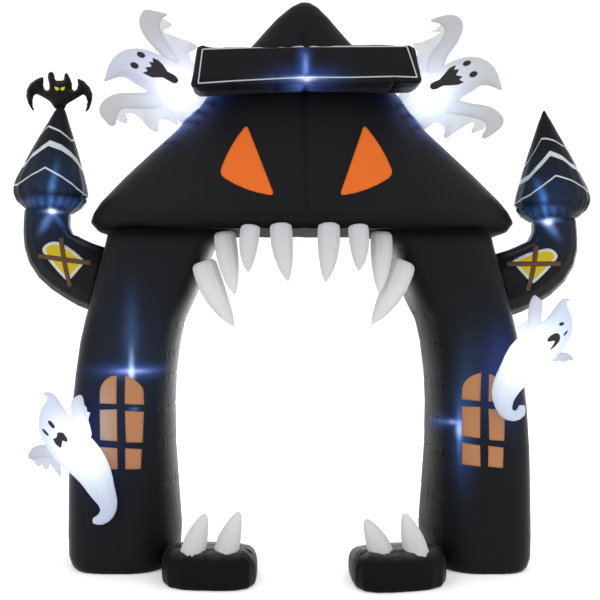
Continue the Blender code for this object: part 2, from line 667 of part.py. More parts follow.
def pillow(name, outline, ahead, cell, girth, fullness):
    """Two cloths sewn together round an outline, and blown up to their fullness a girth in from it."""
    outline = [Vector(p) for p in outline]
    count = len(outline)
    spans = [(min(way), max(way)) for way in zip(*outline)]
    steps = [range(1, int((high - low) / cell) + 1) for low, high in spans]
    grid = [Vector((spans[0][0] + i * cell, spans[1][0] + j * cell)) for i in steps[0] for j in steps[1]]
    inner = [point for point in grid if rim_gap(point, outline) > 0.6 * cell]
    flat, _, faces, *_ = delaunay_2d_cdt(outline + inner, [], [list(range(count))], 1, 1e-6)
    shape = bmesh.new()
    sides = []
    for way in (1, -1):
        side = {}
        for i in {corner for face in faces for corner in face}:
            gap = min(girth, rim_gap(flat[i], outline))
            swell = PILLOW_RIM + fullness * math.sqrt(gap * (2 * girth - gap)) / girth
            side[i] = shape.verts.new(place(flat[i].x, ahead + way * swell, flat[i].y))
        sides.append(side)
    edges = {(a, b) for face in faces for a, b in zip(face, face[1:] + face[:1])}
    for face in faces:
        shape.faces.new([sides[0][i] for i in face])
        shape.faces.new([sides[1][i] for i in reversed(face)])
    for a, b in edges:
        if (b, a) not in edges:
            shape.faces.new((sides[0][b], sides[0][a], sides[1][a], sides[1][b]))
    return mesh_from(shape, name)


def prism(name, outline, back, front):
    """An upright outline of x and height, filled and drawn out from back to front ahead."""
    curve = bpy.data.curves.new(name, "CURVE")
    curve.dimensions = "2D"
    curve.fill_mode = "BOTH"
    curve.extrude = (front - back) / 2
    spline = curve.splines.new("POLY")
    spline.points.add(len(outline) - 1)
    for point, (x, height) in zip(spline.points, outline):
        point.co = (x, height, 0.0, 1.0)
    spline.use_cyclic_u = True
    mesh = mesh_of_curve(curve, name)
    for vertex in mesh.vertices:
        vertex.co.y += MIDDLE_Y - (front + back) / 2
    return mesh


def piece(name, mesh, material):
    """A sewn piece of the arch."""
    obj = bpy.data.objects.new(name, mesh)
    ARCH.objects.link(obj)
    mesh.materials.clear()
    mesh.materials.append(material)
    mesh.shade_smooth()
    mesh.set_sharp_from_angle(angle=math.radians(55))
    return obj


def cutter(name, mesh):
    """A shape that cuts or joins others and isn't itself part of the arch."""
    obj = bpy.data.objects.new(name, mesh)
    CUTTERS.objects.link(obj)
    obj.hide_render = True
    obj.display_type = "WIRE"
    return obj


def combine(obj, other, operation):
    modifier = obj.modifiers.new(f"{operation.lower()} {other.name}", "BOOLEAN")
    modifier.operation = operation
    modifier.solver = "EXACT"
    modifier.object = other


def grown(obj, distance):
    """A cutter of a piece's shape, grown outwards by a distance."""
    name = f"{obj.name} grown {distance * 1000:.1f}"
    if name in bpy.data.objects:
        return bpy.data.objects[name]
    graph = bpy.context.evaluated_depsgraph_get()
    source = bpy.data.meshes.new_from_object(obj.evaluated_get(graph))
    source.transform(obj.matrix_world)
    shape = bmesh.new()
    shape.from_mesh(source)
    bpy.data.meshes.remove(source)
    bmesh.ops.remove_doubles(shape, verts=shape.verts, dist=0.00001)
    bmesh.ops.recalc_face_normals(shape, faces=shape.faces)
    shape.normal_update()
    moves = [v.normal * distance * v.calc_shell_factor() for v in shape.verts]
    for vertex, move in zip(shape.verts, moves):
        vertex.co += move
    return cutter(name, mesh_from(shape, name))


# ---------------------------------------------------------------- the big inflated bodies
def make_roof():
    """The gabled head: rounded-box sections that draw in to the peak, creased down the middle."""
    heights = [row.height for row in ROOF[:5]] + [1.78, 1.86, 1.95, 2.04, 2.13, 2.24, 2.36]
    heights += [row.height for row in ROOF[10:]]
    crease = math.radians(2.2)
    turns = sorted(
        even_turns(36) + [math.pi / 2 - crease, math.pi / 2 + crease]
        + [3 * math.pi / 2 - crease, 3 * math.pi / 2 + crease]
    )
    rings = []
    for row in smoothed(ROOF, heights):
        centre = place(row.centre, 0, row.height)
        width, depth = Vector((row.half_width, 0, 0)), Vector((0, row.half_depth, 0))
        ring = rounded(centre, width, depth, ROOF_BOXINESS, turns)
        for point in ring:
            if abs(point.x - centre.x) < 0.001 and row.half_depth > 5 * ROOF_CREASE:
                point.y += math.copysign(ROOF_CREASE, centre.y - point.y)
        rings.append(ring)
    return piece("roof", loft("roof", rings), BLACK)


def make_leg(side):
    """A pillar that stands flat, leans in at the top and is drawn in at its doorway seams."""
    sign = DOORWAY_SIDES[side]
    turns = [turn + math.tau / 40 for turn in even_turns(20)]
    heights = [0.0, 0.012, 0.05, 0.15, 0.385, 0.565, 0.76, 1.24, 1.31, 1.38, 1.45, 1.51, 1.55]
    heights += [LEG[-1].height]
    for seam in LEG_CREASES:
        heights += [seam - LEG_CREASE_REACH, seam, seam + LEG_CREASE_REACH]
    rings = []
    for row in smoothed(LEG, sorted(heights)):
        outer = sign * row.outer + LEG_OUTER_SHIFT
        drawn_in = LEG_CREASE if round(row.height, 4) in LEG_CREASES else 0.0
        inner = sign * (row.inner + drawn_in) + LEG_INNER_SHIFT
        centre = place((outer + inner) / 2, 0, row.height)
        width = Vector((abs(outer - inner) / 2, 0, 0))
        depth = Vector((0, row.half_depth, 0))
        rings.append(rounded(centre, width, depth, LEG_BOXINESS, turns))
    return piece(f"leg_{side}", loft(f"leg_{side}", rings), BLACK)


def make_tower(side):
    mesh = tube(f"tower_{side}", TOWERS[side], 0.0, 12, 5)
    return piece(f"tower_{side}", mesh, BLACK)


def make_turret(side):
    """The pointed cap: a profile turned round its axis, which leans in over the tower."""
    profile = bpy.data.meshes.new(f"turret_{side}")
    spot = TURRET_PLACES[side]
    points = [(row.radius * spot.width, 0.0, row.along) for row in TURRET]
    edges = [(i, i + 1) for i in range(len(points) - 1)]
    profile.from_pydata(points, edges, [])
    obj = piece(f"turret_{side}", profile, BLACK)
    obj.location = place(spot.x, 0, spot.height)
    obj.rotation_euler = (0, spot.lean, 0)
    screw = obj.modifiers.new("turned", "SCREW")
    screw.steps = screw.render_steps = TURRET_STEPS
    screw.use_merge_vertices = True
    screw.merge_threshold = 0.0001
    screw.use_smooth_shade = True
    bpy.context.view_layer.update()
    return obj


def make_foot(side):
    """A pod that stands flat, with a crowned top that falls away to the back."""
    spot = FEET[side]
    rings = []
    for row in FOOT:
        width = Vector((FOOT_HALF_WIDTH * row.spread, 0, 0))
        depth = Vector((0, FOOT_HALF_DEPTH * row.spread, 0))
        flat = rounded(Vector((0, 0, 0)), width, depth, FOOT_BOXINESS, even_turns(24))
        ring = []
        for point in flat:
            back = max(0.0, point.y / FOOT_HALF_DEPTH + 0.35) / 1.35
            height = row.height * (1 - FOOT_BACK_DROP * back**1.3)
            moved = Vector((point.x, point.y + point.x * spot.skew, height))
            ring.append(place(spot.x, spot.ahead, 0) + moved)
        rings.append(ring)
    return piece(f"foot_{side}", loft(f"foot_{side}", rings), BLACK)


def make_sign():
    """A long box pillow, drawn in at its middle seam and fuller at its lower corners."""
    half_height = (SIGN_TOP - SIGN_BOTTOM) / 2
    half_depth = (SIGN_FRONT - SIGN_BACK) / 2
    length = SIGN[-1].x - SIGN[0].x
    rings = []
    for row in SIGN:
        rise = SIGN_RISE * ((row.x - SIGN[0].x) / length - 0.5)
        height = (SIGN_TOP + SIGN_BOTTOM) / 2 + rise
        centre = place(row.x, (SIGN_FRONT + SIGN_BACK) / 2, height)
        deep = Vector((0, half_depth * row.swell, 0))
        tall = Vector((-half_height * row.swell * row.lean, 0, half_height * row.swell))
        rings.append(rounded(centre, deep, tall, SIGN_BOXINESS, even_turns(16)))
    return piece("sign", loft("sign", rings), BLACK)


def make_bat():
    """A flat bat, cut to its outline and blown up."""
    mesh = pillow("bat", BAT, 0.0, BAT_CELL, BAT_GIRTH, BAT_FULLNESS)
    return piece("bat", mesh, BLACK)


# ---------------------------------------------------------------- teeth, panels and ghosts
def make_top_tooth(number, row):
    """A rounded root and a point, bowed a little away from the doorway's middle."""
    outward = math.copysign(1, row.root_x)
    path = []
    for ring in TOP_TOOTH:
        bow = row.bow * math.sin(math.pi * ring.along)
        x = row.root_x + (row.tip_x - row.root_x) * ring.along + outward * bow
        height = row.root_height + (row.tip_height - row.root_height) * ring.along
        path.append(PathPoint(x, height, row.width / 2 * ring.swell))
    name = f"tooth_top_{number}"
    mesh = tube(name, path, row.root_ahead, len(path), 3, TOOTH_FLATNESS)
    lean = (TOP_TEETH_TIP_AHEAD - row.root_ahead) / (row.root_height - row.tip_height)
    for vertex in mesh.vertices:
        vertex.co.y -= (row.root_height - vertex.co.z) * lean
    return piece(name, mesh, BONE)


def make_low_tooth(number, row):
    path = []
    for ring in LOW_TOOTH:
        x = row.base_x + (row.tip_x - row.base_x) * ring.along**1.2
        height = LOW_TEETH_BASE + (row.tip_height - LOW_TEETH_BASE) * ring.along
        path.append(PathPoint(x, height, LOW_TOOTH_WIDTH / 2 * ring.swell))
    name = f"tooth_low_{number}"
    ahead = LOW_TEETH_AHEAD[row.side]
    return piece(name, tube(name, path, ahead, len(path), 3, TOOTH_FLATNESS), BONE)


def make_panel(name, outline, material, body, layer=1):
    """A thin panel sewn over the front of a body; a second layer lies over a first one."""
    panel = piece(name, prism(name, outline, 0.0, 0.60), material)
    under = SEAM_GAP + (layer - 1) * (SEAM_GAP + PATCH)
    combine(panel, grown(body, under + PATCH), "INTERSECT")
    combine(panel, grown(body, under), "DIFFERENCE")
    return panel


def make_eye(side, roof):
    sign = DOORWAY_SIDES[side]
    corners = [c._replace(x=EYE_MIDDLE + sign * c.x) for c in EYE]
    return make_panel(f"eye_{side}", corner_points(corners), ORANGE, roof)


def make_panes(side, leg):
    """Six panes in three rows; the top pair is cut as the two halves of a round arch."""
    for number, outline in enumerate(PANES[side], 1):
        make_panel(f"pane_{side}_{number}", outline, TAN, leg)


def make_lantern(side, tower):
    """The kite-shaped window, and over it the two crossed bars."""
    make_panel(f"lantern_{side}", corner_points(LANTERNS[side]), YELLOW, tower)
    outlines = []
    for bar in LANTERN_BARS[side]:
        a, b = Vector((bar.x1, bar.height1)), Vector((bar.x2, bar.height2))
        off = (b - a).orthogonal().normalized() * BAR_WIDTH / 2
        outlines.append([a - off, b - off, b + off, a + off])
    name = f"lantern_bars_{side}"
    bars = piece(name, prism(name, outlines[0], 0.0, 0.60), BROWN)
    other = cutter(f"{name} second", prism(name, outlines[1], 0.0, 0.55))
    combine(bars, other, "UNION")
    under = 2 * SEAM_GAP + PATCH
    combine(bars, grown(tower, under + PATCH), "INTERSECT")
    combine(bars, grown(tower, under), "DIFFERENCE")
    return bars


def ghost_ahead(name):
    _, where, side = name.split("_")[:3]
    return TOP_GHOST_AHEAD if where == "top" else SIDE_GHOST_AHEAD[side]


def make_ghost(name):
    ahead = ghost_ahead(name)
    path = GHOSTS[name]
    mesh = tube(name, path, ahead, 2 * len(path) - 1, 3, GHOST_FLATNESS)
    return piece(name, mesh, GHOST_WHITE)


def make_arm(name):
    """A slack sleeve cut to its outline, with the jagged cloth that hangs from its seam."""
    ahead = ghost_ahead(name)
    outline = eased(SLEEVES[name])
    sleeve = pillow(name, outline, ahead, SLEEVE_CELL, SLEEVE_GIRTH, SLEEVE_FULLNESS)
    arm = piece(name, sleeve, GHOST_WHITE)
    hanging = prism(f"{name} cloth", JAGGED_CLOTHS[name], ahead - CLOTH / 2, ahead + CLOTH / 2)
    combine(arm, cutter(f"{name} cloth", hanging), "UNION")
    return arm


# ---------------------------------------------------------------- the arch, put together
roof = make_roof()
legs = {side: make_leg(side) for side in DOORWAY_SIDES}
towers = {side: make_tower(side) for side in DOORWAY_SIDES}
turrets = {side: make_turret(side) for side in DOORWAY_SIDES}
feet = {side: make_foot(side) for side in DOORWAY_SIDES}
sign_box = make_sign()
top_teeth = [make_top_tooth(i + 1, row) for i, row in enumerate(TOP_TEETH)]
low_teeth = [make_low_tooth(i + 1, row) for i, row in enumerate(LOW_TEETH)]
ghosts = {name: make_ghost(name) for name in GHOSTS}

# Cutters are grown from the bare bodies, before any body is cut by its neighbours.
bodies = [roof, sign_box, *legs.values(), *turrets.values(), *feet.values(), *ghosts.values()]
for body in bodies + top_teeth:
    grown(body, SEAM_GAP)
for side, leg in legs.items():
    make_eye(side, roof)
    make_panes(side, leg)
    make_lantern(side, towers[side])
make_bat()
arms = {name: make_arm(name) for name in SLEEVES}


def seat(obj, *carriers):
    """Trims a piece where it meets the pieces that it is sewn to."""
    for carrier in carriers:
        combine(obj, grown(carrier, SEAM_GAP), "DIFFERENCE")


def window_cutter(side):
    """The space that a leg's panes take up, for what lies over them."""
    across, heights = zip(*[corner for pane in PANES[side] for corner in pane])
    x1, x2 = min(across) - PATCH, max(across) + PATCH
    bottom, top = min(heights) - PATCH, max(heights) + PATCH
    outline = [(x1, bottom), (x2, bottom), (x2, top), (x1, top)]
    window = cutter(f"window {side}", prism(f"window {side}", outline, 0.10, 0.50))
    combine(window, grown(legs[side], 2 * SEAM_GAP + PATCH), "INTERSECT")
    return window


for side in DOORWAY_SIDES:
    seat(towers[side], legs[side], turrets[side])
    seat(feet[side], legs[side])
seat(sign_box, roof)
seat(bpy.data.objects["bat"], turrets["left"])
for tooth, row in zip(top_teeth, TOP_TEETH):
    seat(tooth, roof, legs["left" if row.root_x < 0 else "right"])
for tooth, row in zip(low_teeth, LOW_TEETH):
    seat(tooth, feet[row.side])
for name, ghost in ghosts.items():
    if "top" in name:
        seat(ghost, roof, sign_box)
    else:
        side = name.split("_")[-1]
        seat(ghost, legs[side])
        combine(ghost, window_cutter(side), "DIFFERENCE")
for name, arm in arms.items():
    seat(arm, ghosts[name.replace("arm", "ghost").rsplit("_", 1)[0]])
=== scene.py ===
"""The looks of the inflatable haunted-house arch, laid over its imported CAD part."""
import math
from collections import namedtuple

import bmesh
import bpy
import numpy as np
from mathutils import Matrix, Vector
from mathutils.bvhtree import BVHTree
from mathutils.geometry import delaunay_2d_cdt


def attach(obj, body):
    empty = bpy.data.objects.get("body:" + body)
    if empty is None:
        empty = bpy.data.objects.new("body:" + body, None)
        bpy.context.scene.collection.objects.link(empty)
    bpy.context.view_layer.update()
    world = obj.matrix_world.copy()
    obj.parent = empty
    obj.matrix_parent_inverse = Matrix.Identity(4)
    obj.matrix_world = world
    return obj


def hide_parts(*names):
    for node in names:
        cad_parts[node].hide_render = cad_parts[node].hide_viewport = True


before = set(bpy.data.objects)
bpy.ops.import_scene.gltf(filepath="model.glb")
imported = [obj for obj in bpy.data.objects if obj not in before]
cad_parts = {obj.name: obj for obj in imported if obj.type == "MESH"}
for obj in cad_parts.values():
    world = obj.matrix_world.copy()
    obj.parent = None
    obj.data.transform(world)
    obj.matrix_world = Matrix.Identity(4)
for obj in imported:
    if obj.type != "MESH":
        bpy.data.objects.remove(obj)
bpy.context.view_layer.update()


# ---------- Camera and lamps ----------
# A level camera in front of the arch and a white room. Two soft lamps in front give the
# black cloth its faint shine, and a wide one behind brightens the legs' inner sides.
MIDDLE_Y = 0.094  # the arch's middle plane; the front faces -y
EYE = np.array((-0.25, -4.406, 1.249))  # where the camera stands
LAMP_AIM = Vector((0, 0, 1.3))
LAMPS = (  # name, place, size and power
    ("lamp_left", (-3.2, -3.6, 3.8), (2.6, 2.6), 45),
    ("lamp_right", (3.4, -3.0, 3.0), (2.6, 2.6), 30),
    ("lamp_back", (1.1, 4.6, 1.7), (8.0, 3.0), 205),
)

camera_data = bpy.data.cameras.new("camera")
camera_data.lens = 55.26
camera_data.shift_x = 0.0845
camera = bpy.data.objects.new("camera", camera_data)
camera.location = EYE
camera.rotation_euler = (math.pi / 2, 0, 0)
bpy.context.collection.objects.link(camera)
bpy.context.scene.camera = camera
bpy.context.scene.view_settings.view_transform = "Standard"

world = bpy.data.worlds.new("white room")
world.use_nodes = True
background = world.node_tree.nodes["Background"]
background.inputs["Color"].default_value = (1, 1, 1, 1)
background.inputs["Strength"].default_value = 1.1
bpy.context.scene.world = world

for lamp_name, place, size, power in LAMPS:
    lamp_data = bpy.data.lights.new(lamp_name, "AREA")
    lamp_data.shape = "RECTANGLE"
    lamp_data.size, lamp_data.size_y = size
    lamp_data.energy = power
    lamp = bpy.data.objects.new(lamp_name, lamp_data)
    lamp.location = place
    lamp.rotation_euler = (LAMP_AIM - Vector(place)).to_track_quat("-Z", "Y").to_euler()
    bpy.context.collection.objects.link(lamp)


# ---------- Floor ----------
# A plain white floor just under the feet. It isn't part of the arch. Its paint, as every
# cloth after it, is a graph of shader nodes, whose sums are written as Python.
FLOOR_REACH = 60
FLOOR_DROP = 0.001


class Value:
    """A shader value. Sums on it add Math nodes."""

    def __init__(self, graph, socket):
        self.graph, self.socket = graph, socket

    def math(self, operation, *others, **settings):
        return self.graph.node("Math", dict(enumerate([self, *others])), operation=operation, **settings)

    def __add__(self, other):
        return self.math("ADD", other)

    def __sub__(self, other):
        return self.math("SUBTRACT", other)

    def __rsub__(self, other):
        return (self * -1).math("ADD", other)

    def __mul__(self, other):
        return self.math("MULTIPLY", other)

    __radd__, __rmul__ = __add__, __mul__


class Graph:
    """A material and its nodes."""

    def __init__(self, name):
        self.material = bpy.data.materials.new(name)
        self.material.use_nodes = True
        self.tree = self.material.node_tree
        self.tree.nodes.clear()
        self.place = self.node("TexCoord", output="Object")

    def node(self, kind, inputs=None, output=0, **settings):
        """Adds a node. What its inputs are given is a Value, which is linked, or a constant."""
        made = self.tree.nodes.new("ShaderNode" + kind)
        for key, value in settings.items():
            setattr(made, key, value)
        for key, value in (inputs or {}).items():
            if isinstance(value, Value):
                self.tree.links.new(value.socket, made.inputs[key])
            else:
                made.inputs[key].default_value = value
        return Value(self, made.outputs[output]) if made.outputs else made

    def noted(self, name, output="Fac"):
        """What the piece's mesh has noted at each vertex under this name."""
        return self.node("Attribute", output=output, attribute_name=name)

    def noise(self, scale, detail=3):
        return self.node("TexNoise", {"Vector": self.place, "Scale": scale, "Detail": detail})

    def bands(self, way, **inputs):
        """Even bands from 0 to 1 that cross the piece this way."""
        return self.node("TexWave", {"Vector": self.place, **inputs}, output="Fac", bands_direction=way)

    def mix(self, factor, first, second):
        return self.node("Mix", {0: factor, 6: first, 7: second}, output=2, data_type="RGBA")

    def dimmed(self, colour, factor):
        return self.node("VectorMath", {0: colour, "Scale": factor}, operation="SCALE")

    def below(self, value, limit, softness=0.0012):
        """1 where the value is under the limit, 0 where it is over it."""
        ends = {"From Min": limit - softness, "From Max": limit + softness}
        return self.node("MapRange", {"Value": value, **ends, "To Min": 1, "To Max": 0})

    def blob(self, centre, reach, lean=0):
        """1 at the centre, fading out over its reach along x, y and z. It leans in the front view."""
        turn = (0, math.radians(lean), 0)
        local = self.node(
            "Mapping",
            {"Vector": self.place, "Location": centre, "Rotation": turn, "Scale": reach},
            vector_type="TEXTURE",
        )
        square = self.node("VectorMath", {0: local, 1: local}, output="Value", operation="DOT_PRODUCT")
        return (square * -1).math("EXPONENT")

    def glow(self, lights):
        """The light that shows through the cloth, or painted light laid on it, the sum of leaning blobs."""
        total = None
        for light in lights:
            part = self.dimmed(light.colour, self.blob(light.centre, light.reach, light.lean))
            total = part if total is None else self.node("VectorMath", {0: total, 1: part}, operation="ADD")
        return total

    def weave(self, crinkle, strength, groove=None):
        """The bump of woven polyester: fine threads both ways, crinkles, and a groove if one is given."""
        threads = [self.bands(way, Scale=160, Distortion=0.4) for way in "XZ"]
        height = (threads[0] + threads[1]) * 0.06 + self.noise(crinkle, 4)
        height = height - groove * 0.5 if groove else height
        return self.node("Bump", {"Height": height, "Strength": strength, "Distance": 0.006})

    def finish(self, colour, roughness, own=None, strength=1.0, **inputs):
        """Ends the graph in a Principled shader, with light of its own where that is given."""
        others = {key.replace("_", " "): value for key, value in inputs.items()}
        if own:
            others |= {"Emission Color": own, "Emission Strength": strength}
        shader = self.node("BsdfPrincipled", {"Base Color": colour, "Roughness": roughness, **others})
        self.node("OutputMaterial", {"Surface": shader})
        return self.material


def paint(code, strength=1):
    """A colour such as 1b1c20 as the linear values a shader takes."""
    parts = [int(code[i : i + 2], 16) / 255 for i in (0, 2, 4)]
    linear = [p / 12.92 if p <= 0.04045 else ((p + 0.055) / 1.055) ** 2.4 for p in parts]
    return (*[strength * p for p in linear], 1)


floor_mesh = bpy.data.meshes.new("floor")
corners = [(FLOOR_REACH * x, FLOOR_REACH * y, -FLOOR_DROP) for x, y in ((-1, -1), (1, -1), (1, 1), (-1, 1))]
floor_mesh.from_pydata(corners, [], [(0, 1, 2, 3)])
floor = bpy.data.objects.new("floor", floor_mesh)
bpy.context.collection.objects.link(floor)
floor_mesh.materials.append(Graph("floor").finish(paint("fbfbfb"), 0.9, own=paint("ffffff"), strength=0.2))


# ---------- Roof ----------
# The gabled head of the arch: a bag of thin black polyester that a fan's air keeps up, sewn together up the
# middle and round the hem, with small pleats at its sides. The skin is the CAD body's surface in even cells,
# with its facets smoothed out and its seams puckered.
ROOF_ROWS = (  # height, middle, half width, half depth
    (1.576, 0.006, 0.930, 0.318), (1.597, 0.006, 0.985, 0.352), (1.633, 0.003, 1.020, 0.377),
    (1.668, -0.002, 1.002, 0.384), (1.720, -0.006, 0.960, 0.380), (1.835, -0.008, 0.847, 0.352),
    (1.953, -0.007, 0.722, 0.312), (2.070, -0.004, 0.596, 0.268), (2.187, 0.002, 0.508, 0.228),
    (2.340, 0.006, 0.373, 0.174), (2.500, 0.008, 0.229, 0.120), (2.617, 0.008, 0.127, 0.080),
    (2.670, 0.008, 0.070, 0.052), (2.695, 0.008, 0.030, 0.026), (2.700, 0.008, 0.012, 0.010),
)
ROOF_BOXINESS = 2.6  # 2 is a round section, more is boxier
ROOF_WIDEST = 1.633  # height of the widest place, just over the hem's seam
ROOF_PLEATS = {-1: (2.26, 2.20, 2.15, 2.10, 1.99), 1: (2.24, 2.18, 2.13, 2.07)}  # heights, by side
ROOF_PULLS = (
    ((0.0, MIDDLE_Y, 2.70), (0.012, 0.0, 0.0), (0.15, 0.30, 0.10)),
    ((-0.93, MIDDLE_Y, 1.60), (0.0, 0.0, -0.018), (0.30, 0.60, 0.06)),
    ((0.93, MIDDLE_Y, 1.60), (0.0, 0.0, -0.024), (0.30, 0.60, 0.06)),
)
ROOF_SHADE = [((0.0, MIDDLE_Y, 1.575), (0.9, 0.5, 0.030), 1.6)]  # painted shade on its underside, which is also made rougher
PALE = 0.78  # how much of a colour seen in the photo is the cloth's own, under this light
Light = namedtuple("Light", "centre reach lean colour")
Seam = namedtuple("Seam", "line depth pucker wave reach")


def light(centre, reach, code, strength=1, lean=0):
    return Light(centre, reach, lean, paint(code, strength)[:3])


# Painted light from the top ghosts' lamps, cast on the roof's slopes beside them.
ROOF_LIGHTS = (
    light((-0.555, -0.08, 2.150), (0.058, 0.30, 0.16), "526cc0", 1.1, 45),
    light((-0.520, -0.10, 2.195), (0.030, 0.20, 0.080), "c4d2f0", 0.8, 45),
    light((-0.50, -0.10, 2.15), (0.10, 0.22, 0.15), "202a5c", 0.55, 45),
    light((0.590, -0.08, 2.125), (0.058, 0.30, 0.16), "526cc0", 1.1, -45),
    light((0.565, -0.10, 2.160), (0.030, 0.20, 0.080), "c4d2f0", 0.8, -45),
    light((0.54, -0.10, 2.13), (0.10, 0.22, 0.15), "202a5c", 0.55, -45),
)


def black_cloth(name, lights=(), half_widths=(), ink="000000", mottle=0.6, sheen=0.06, dull_painted_shades=()):
    """Black polyester with the bluish stars of the lamps behind it, and the painted light listed with them.
    Seams and the dull places get painted shade. Half widths make printed lines.
    """
    graph = Graph(name)
    blotches = graph.noise(3.5)
    # Painted shade: the cloth and its glow are darkened along its seams and creases.
    seam_painted_shade = graph.below(graph.noted("seam"), 0.013, 0.013)
    colour = graph.mix(blotches, paint("08090b"), paint("101114"))
    colour = graph.mix(seam_painted_shade * 0.7, colour, paint("030304"))
    if half_widths:
        parts = graph.node("SeparateXYZ", {0: graph.noted("print", "Vector")})
        printed = None
        for number, half_width in enumerate(half_widths):
            part = Value(graph, parts.socket.node.outputs[number]).math("ABSOLUTE")
            mask = graph.below(part, half_width)
            printed = mask if printed is None else printed.math("MAXIMUM", mask)
        colour = graph.mix(printed, colour, paint(ink, PALE))
    roughness = blotches * 0.12 + 0.40
    # Painted shade: each dull place darkens the colour towards near-black, and also makes the cloth rougher.
    for centre, reach, strength in dull_painted_shades:
        shaded = graph.blob(centre, reach).math("MULTIPLY", strength, use_clamp=True)
        colour = graph.mix(shaded, colour, paint("020203"))
        roughness = roughness + shaded * 0.6
    own = None
    if lights:
        mottled = (graph.noise(26, 2) - 0.5) * mottle + 1
        own = graph.dimmed(graph.glow(lights), mottled * (1 - seam_painted_shade * 0.75))
    woven = graph.weave(22, 0.35, graph.below(graph.noted("seam"), 0.006, 0.005))
    shine = {"Specular_IOR_Level": 1.6 * sheen, "Sheen_Weight": sheen, "Sheen_Roughness": 0.3}
    return graph.finish(colour, roughness, own, Normal=woven, **shine)


def remeshed(node, cell):
    """A CAD node's surface in even four-sided cells: its points and faces."""
    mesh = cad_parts[node].data.copy()
    shell = bmesh.new()
    shell.from_mesh(mesh)
    bmesh.ops.remove_doubles(shell, verts=shell.verts, dist=0.00002)
    shell.to_mesh(mesh)
    shell.free()
    holder = bpy.data.objects.new("holder", mesh)
    bpy.context.collection.objects.link(holder)
    modifier = holder.modifiers.new("even cells", "REMESH")
    modifier.mode = "VOXEL"
    modifier.voxel_size = cell
    result = holder.evaluated_get(bpy.context.evaluated_depsgraph_get()).to_mesh()
    points = np.empty(len(result.vertices) * 3)
    result.vertices.foreach_get("co", points)
    faces = np.empty(len(result.loops), int)
    result.loops.foreach_get("vertex_index", faces)
    bpy.data.objects.remove(holder)
    bpy.data.meshes.remove(mesh)
    return points.reshape(-1, 3), faces.reshape(-1, 4)


def sums(index, values, count):
    """Adds up rows of values by the index they belong to."""
    return np.stack([np.bincount(index, column, count) for column in values.T], axis=1)


def evened(points, faces, rounds):
    """Smooths the facets out. Each round shrinks a little and swells back, so the body keeps its size."""
    edges = np.unique(np.sort(np.vstack([faces[:, [i, (i + 1) % 4]] for i in range(4)]), axis=1), axis=0)
    starts, ends = edges.T
    count = np.bincount(edges.ravel(), minlength=len(points))[:, None]
    for _ in range(rounds):
        for share in (0.55, -0.57):
            total = sums(starts, points[ends], len(points)) + sums(ends, points[starts], len(points))
            points = points + share * (total / count - points)
    return points


def outward(points, faces):
    """Each point's normal."""
    across = np.cross(points[faces[:, 2]] - points[faces[:, 0]], points[faces[:, 3]] - points[faces[:, 1]])
    normals = sum(sums(corner, across, len(points)) for corner in faces.T)
    return normals / np.maximum(np.linalg.norm(normals, axis=1), 1e-12)[:, None]


def along_line(points, line):
    """How far each point is from a line of straight legs, and how far along it its nearest place lies."""
    gap, place, walked = np.full(len(points), np.inf), np.zeros(len(points)), 0
    for start, end in zip(line[:-1], line[1:]):
        leg = end - start
        length = np.linalg.norm(leg)
        share = np.clip((points - start) @ leg / length**2, 0, 1)
        found = np.linalg.norm(points - start - share[:, None] * leg, axis=1)
        nearer = found < gap
        gap, place = np.where(nearer, found, gap), np.where(nearer, walked + share * length, place)
        walked += length
    return gap, place


def ripple(place, wave, seed):
    """Uneven waves along a seam, from -1 to 1."""
    count = 1009
    knots = np.random.default_rng(seed).uniform(-1, 1, count)
    step = place / wave
    low = np.floor(step).astype(int)
    share = step - low
    share = share * share * (3 - 2 * share)
    return knots[low % count] * (1 - share) + knots[(low + 1) % count] * share


NO_SEAM = 0.3  # the way to a seam that is noted where none is near


def puckered(points, faces, seams):
    """Pulls a skin in at its seams and puckers the cloth beside them. Also gives the ways to a seam."""
    normals = outward(points, faces)
    push, nearest = np.zeros(len(points)), np.full(len(points), NO_SEAM)
    for number, seam in enumerate(seams):
        gap, place = along_line(points, np.array(seam.line))
        valley = np.exp(-((gap / (0.35 * seam.reach)) ** 2))
        fade = np.exp(-gap / seam.reach) * (1 - 0.5 * valley)
        push += seam.pucker * ripple(place, seam.wave, number) * fade - seam.depth * valley
        nearest = np.minimum(nearest, gap)
    return points + normals * push[:, None], nearest


def add_piece(name, points, faces, nodes, material):
    """Puts a mesh in the scene as a piece that rides on the arch and stands for CAD nodes."""
    mesh = bpy.data.meshes.new(name)
    mesh.from_pydata(np.asarray(points).tolist(), [], [list(map(int, face)) for face in faces])
    mesh.polygons.foreach_set("use_smooth", np.ones(len(mesh.polygons), bool))
    mesh.materials.append(material)
    piece = bpy.data.objects.new(name, mesh)
    bpy.context.collection.objects.link(piece)
    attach(piece, "root")
    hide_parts(*nodes)
    return piece


def note(piece, name, values):
    """Notes a number, or three, at each vertex for the material to read."""
    single = values.ndim == 1
    layer = piece.data.attributes.new(name, "FLOAT" if single else "FLOAT_VECTOR", "POINT")
    layer.data.foreach_set("value" if single else "vector", values.astype(np.float32).ravel())


def across_at(z, rows):
    """A body's middle x, half width and half depth at a height, from rows of height and these."""
    heights, *others = np.array(rows).T
    return [np.interp(z, heights, other) for other in others]


def rounded_out(points, rows, boxiness):
    """Lifts the facets of an upright body's sides onto the rounded box sections they were cut from."""
    middle, width, depth = across_at(points[:, 2], rows)
    aside, ahead = (points[:, 0] - middle) / width, (points[:, 1] - MIDDLE_Y) / depth
    share = (abs(aside) ** boxiness + abs(ahead) ** boxiness) ** (1 / boxiness)
    on_a_side = share > 0.88
    lift = np.where(on_a_side, 1 / share, 1.0)
    return np.stack([middle + aside * lift * width, MIDDLE_Y + ahead * lift * depth, points[:, 2]], axis=1)


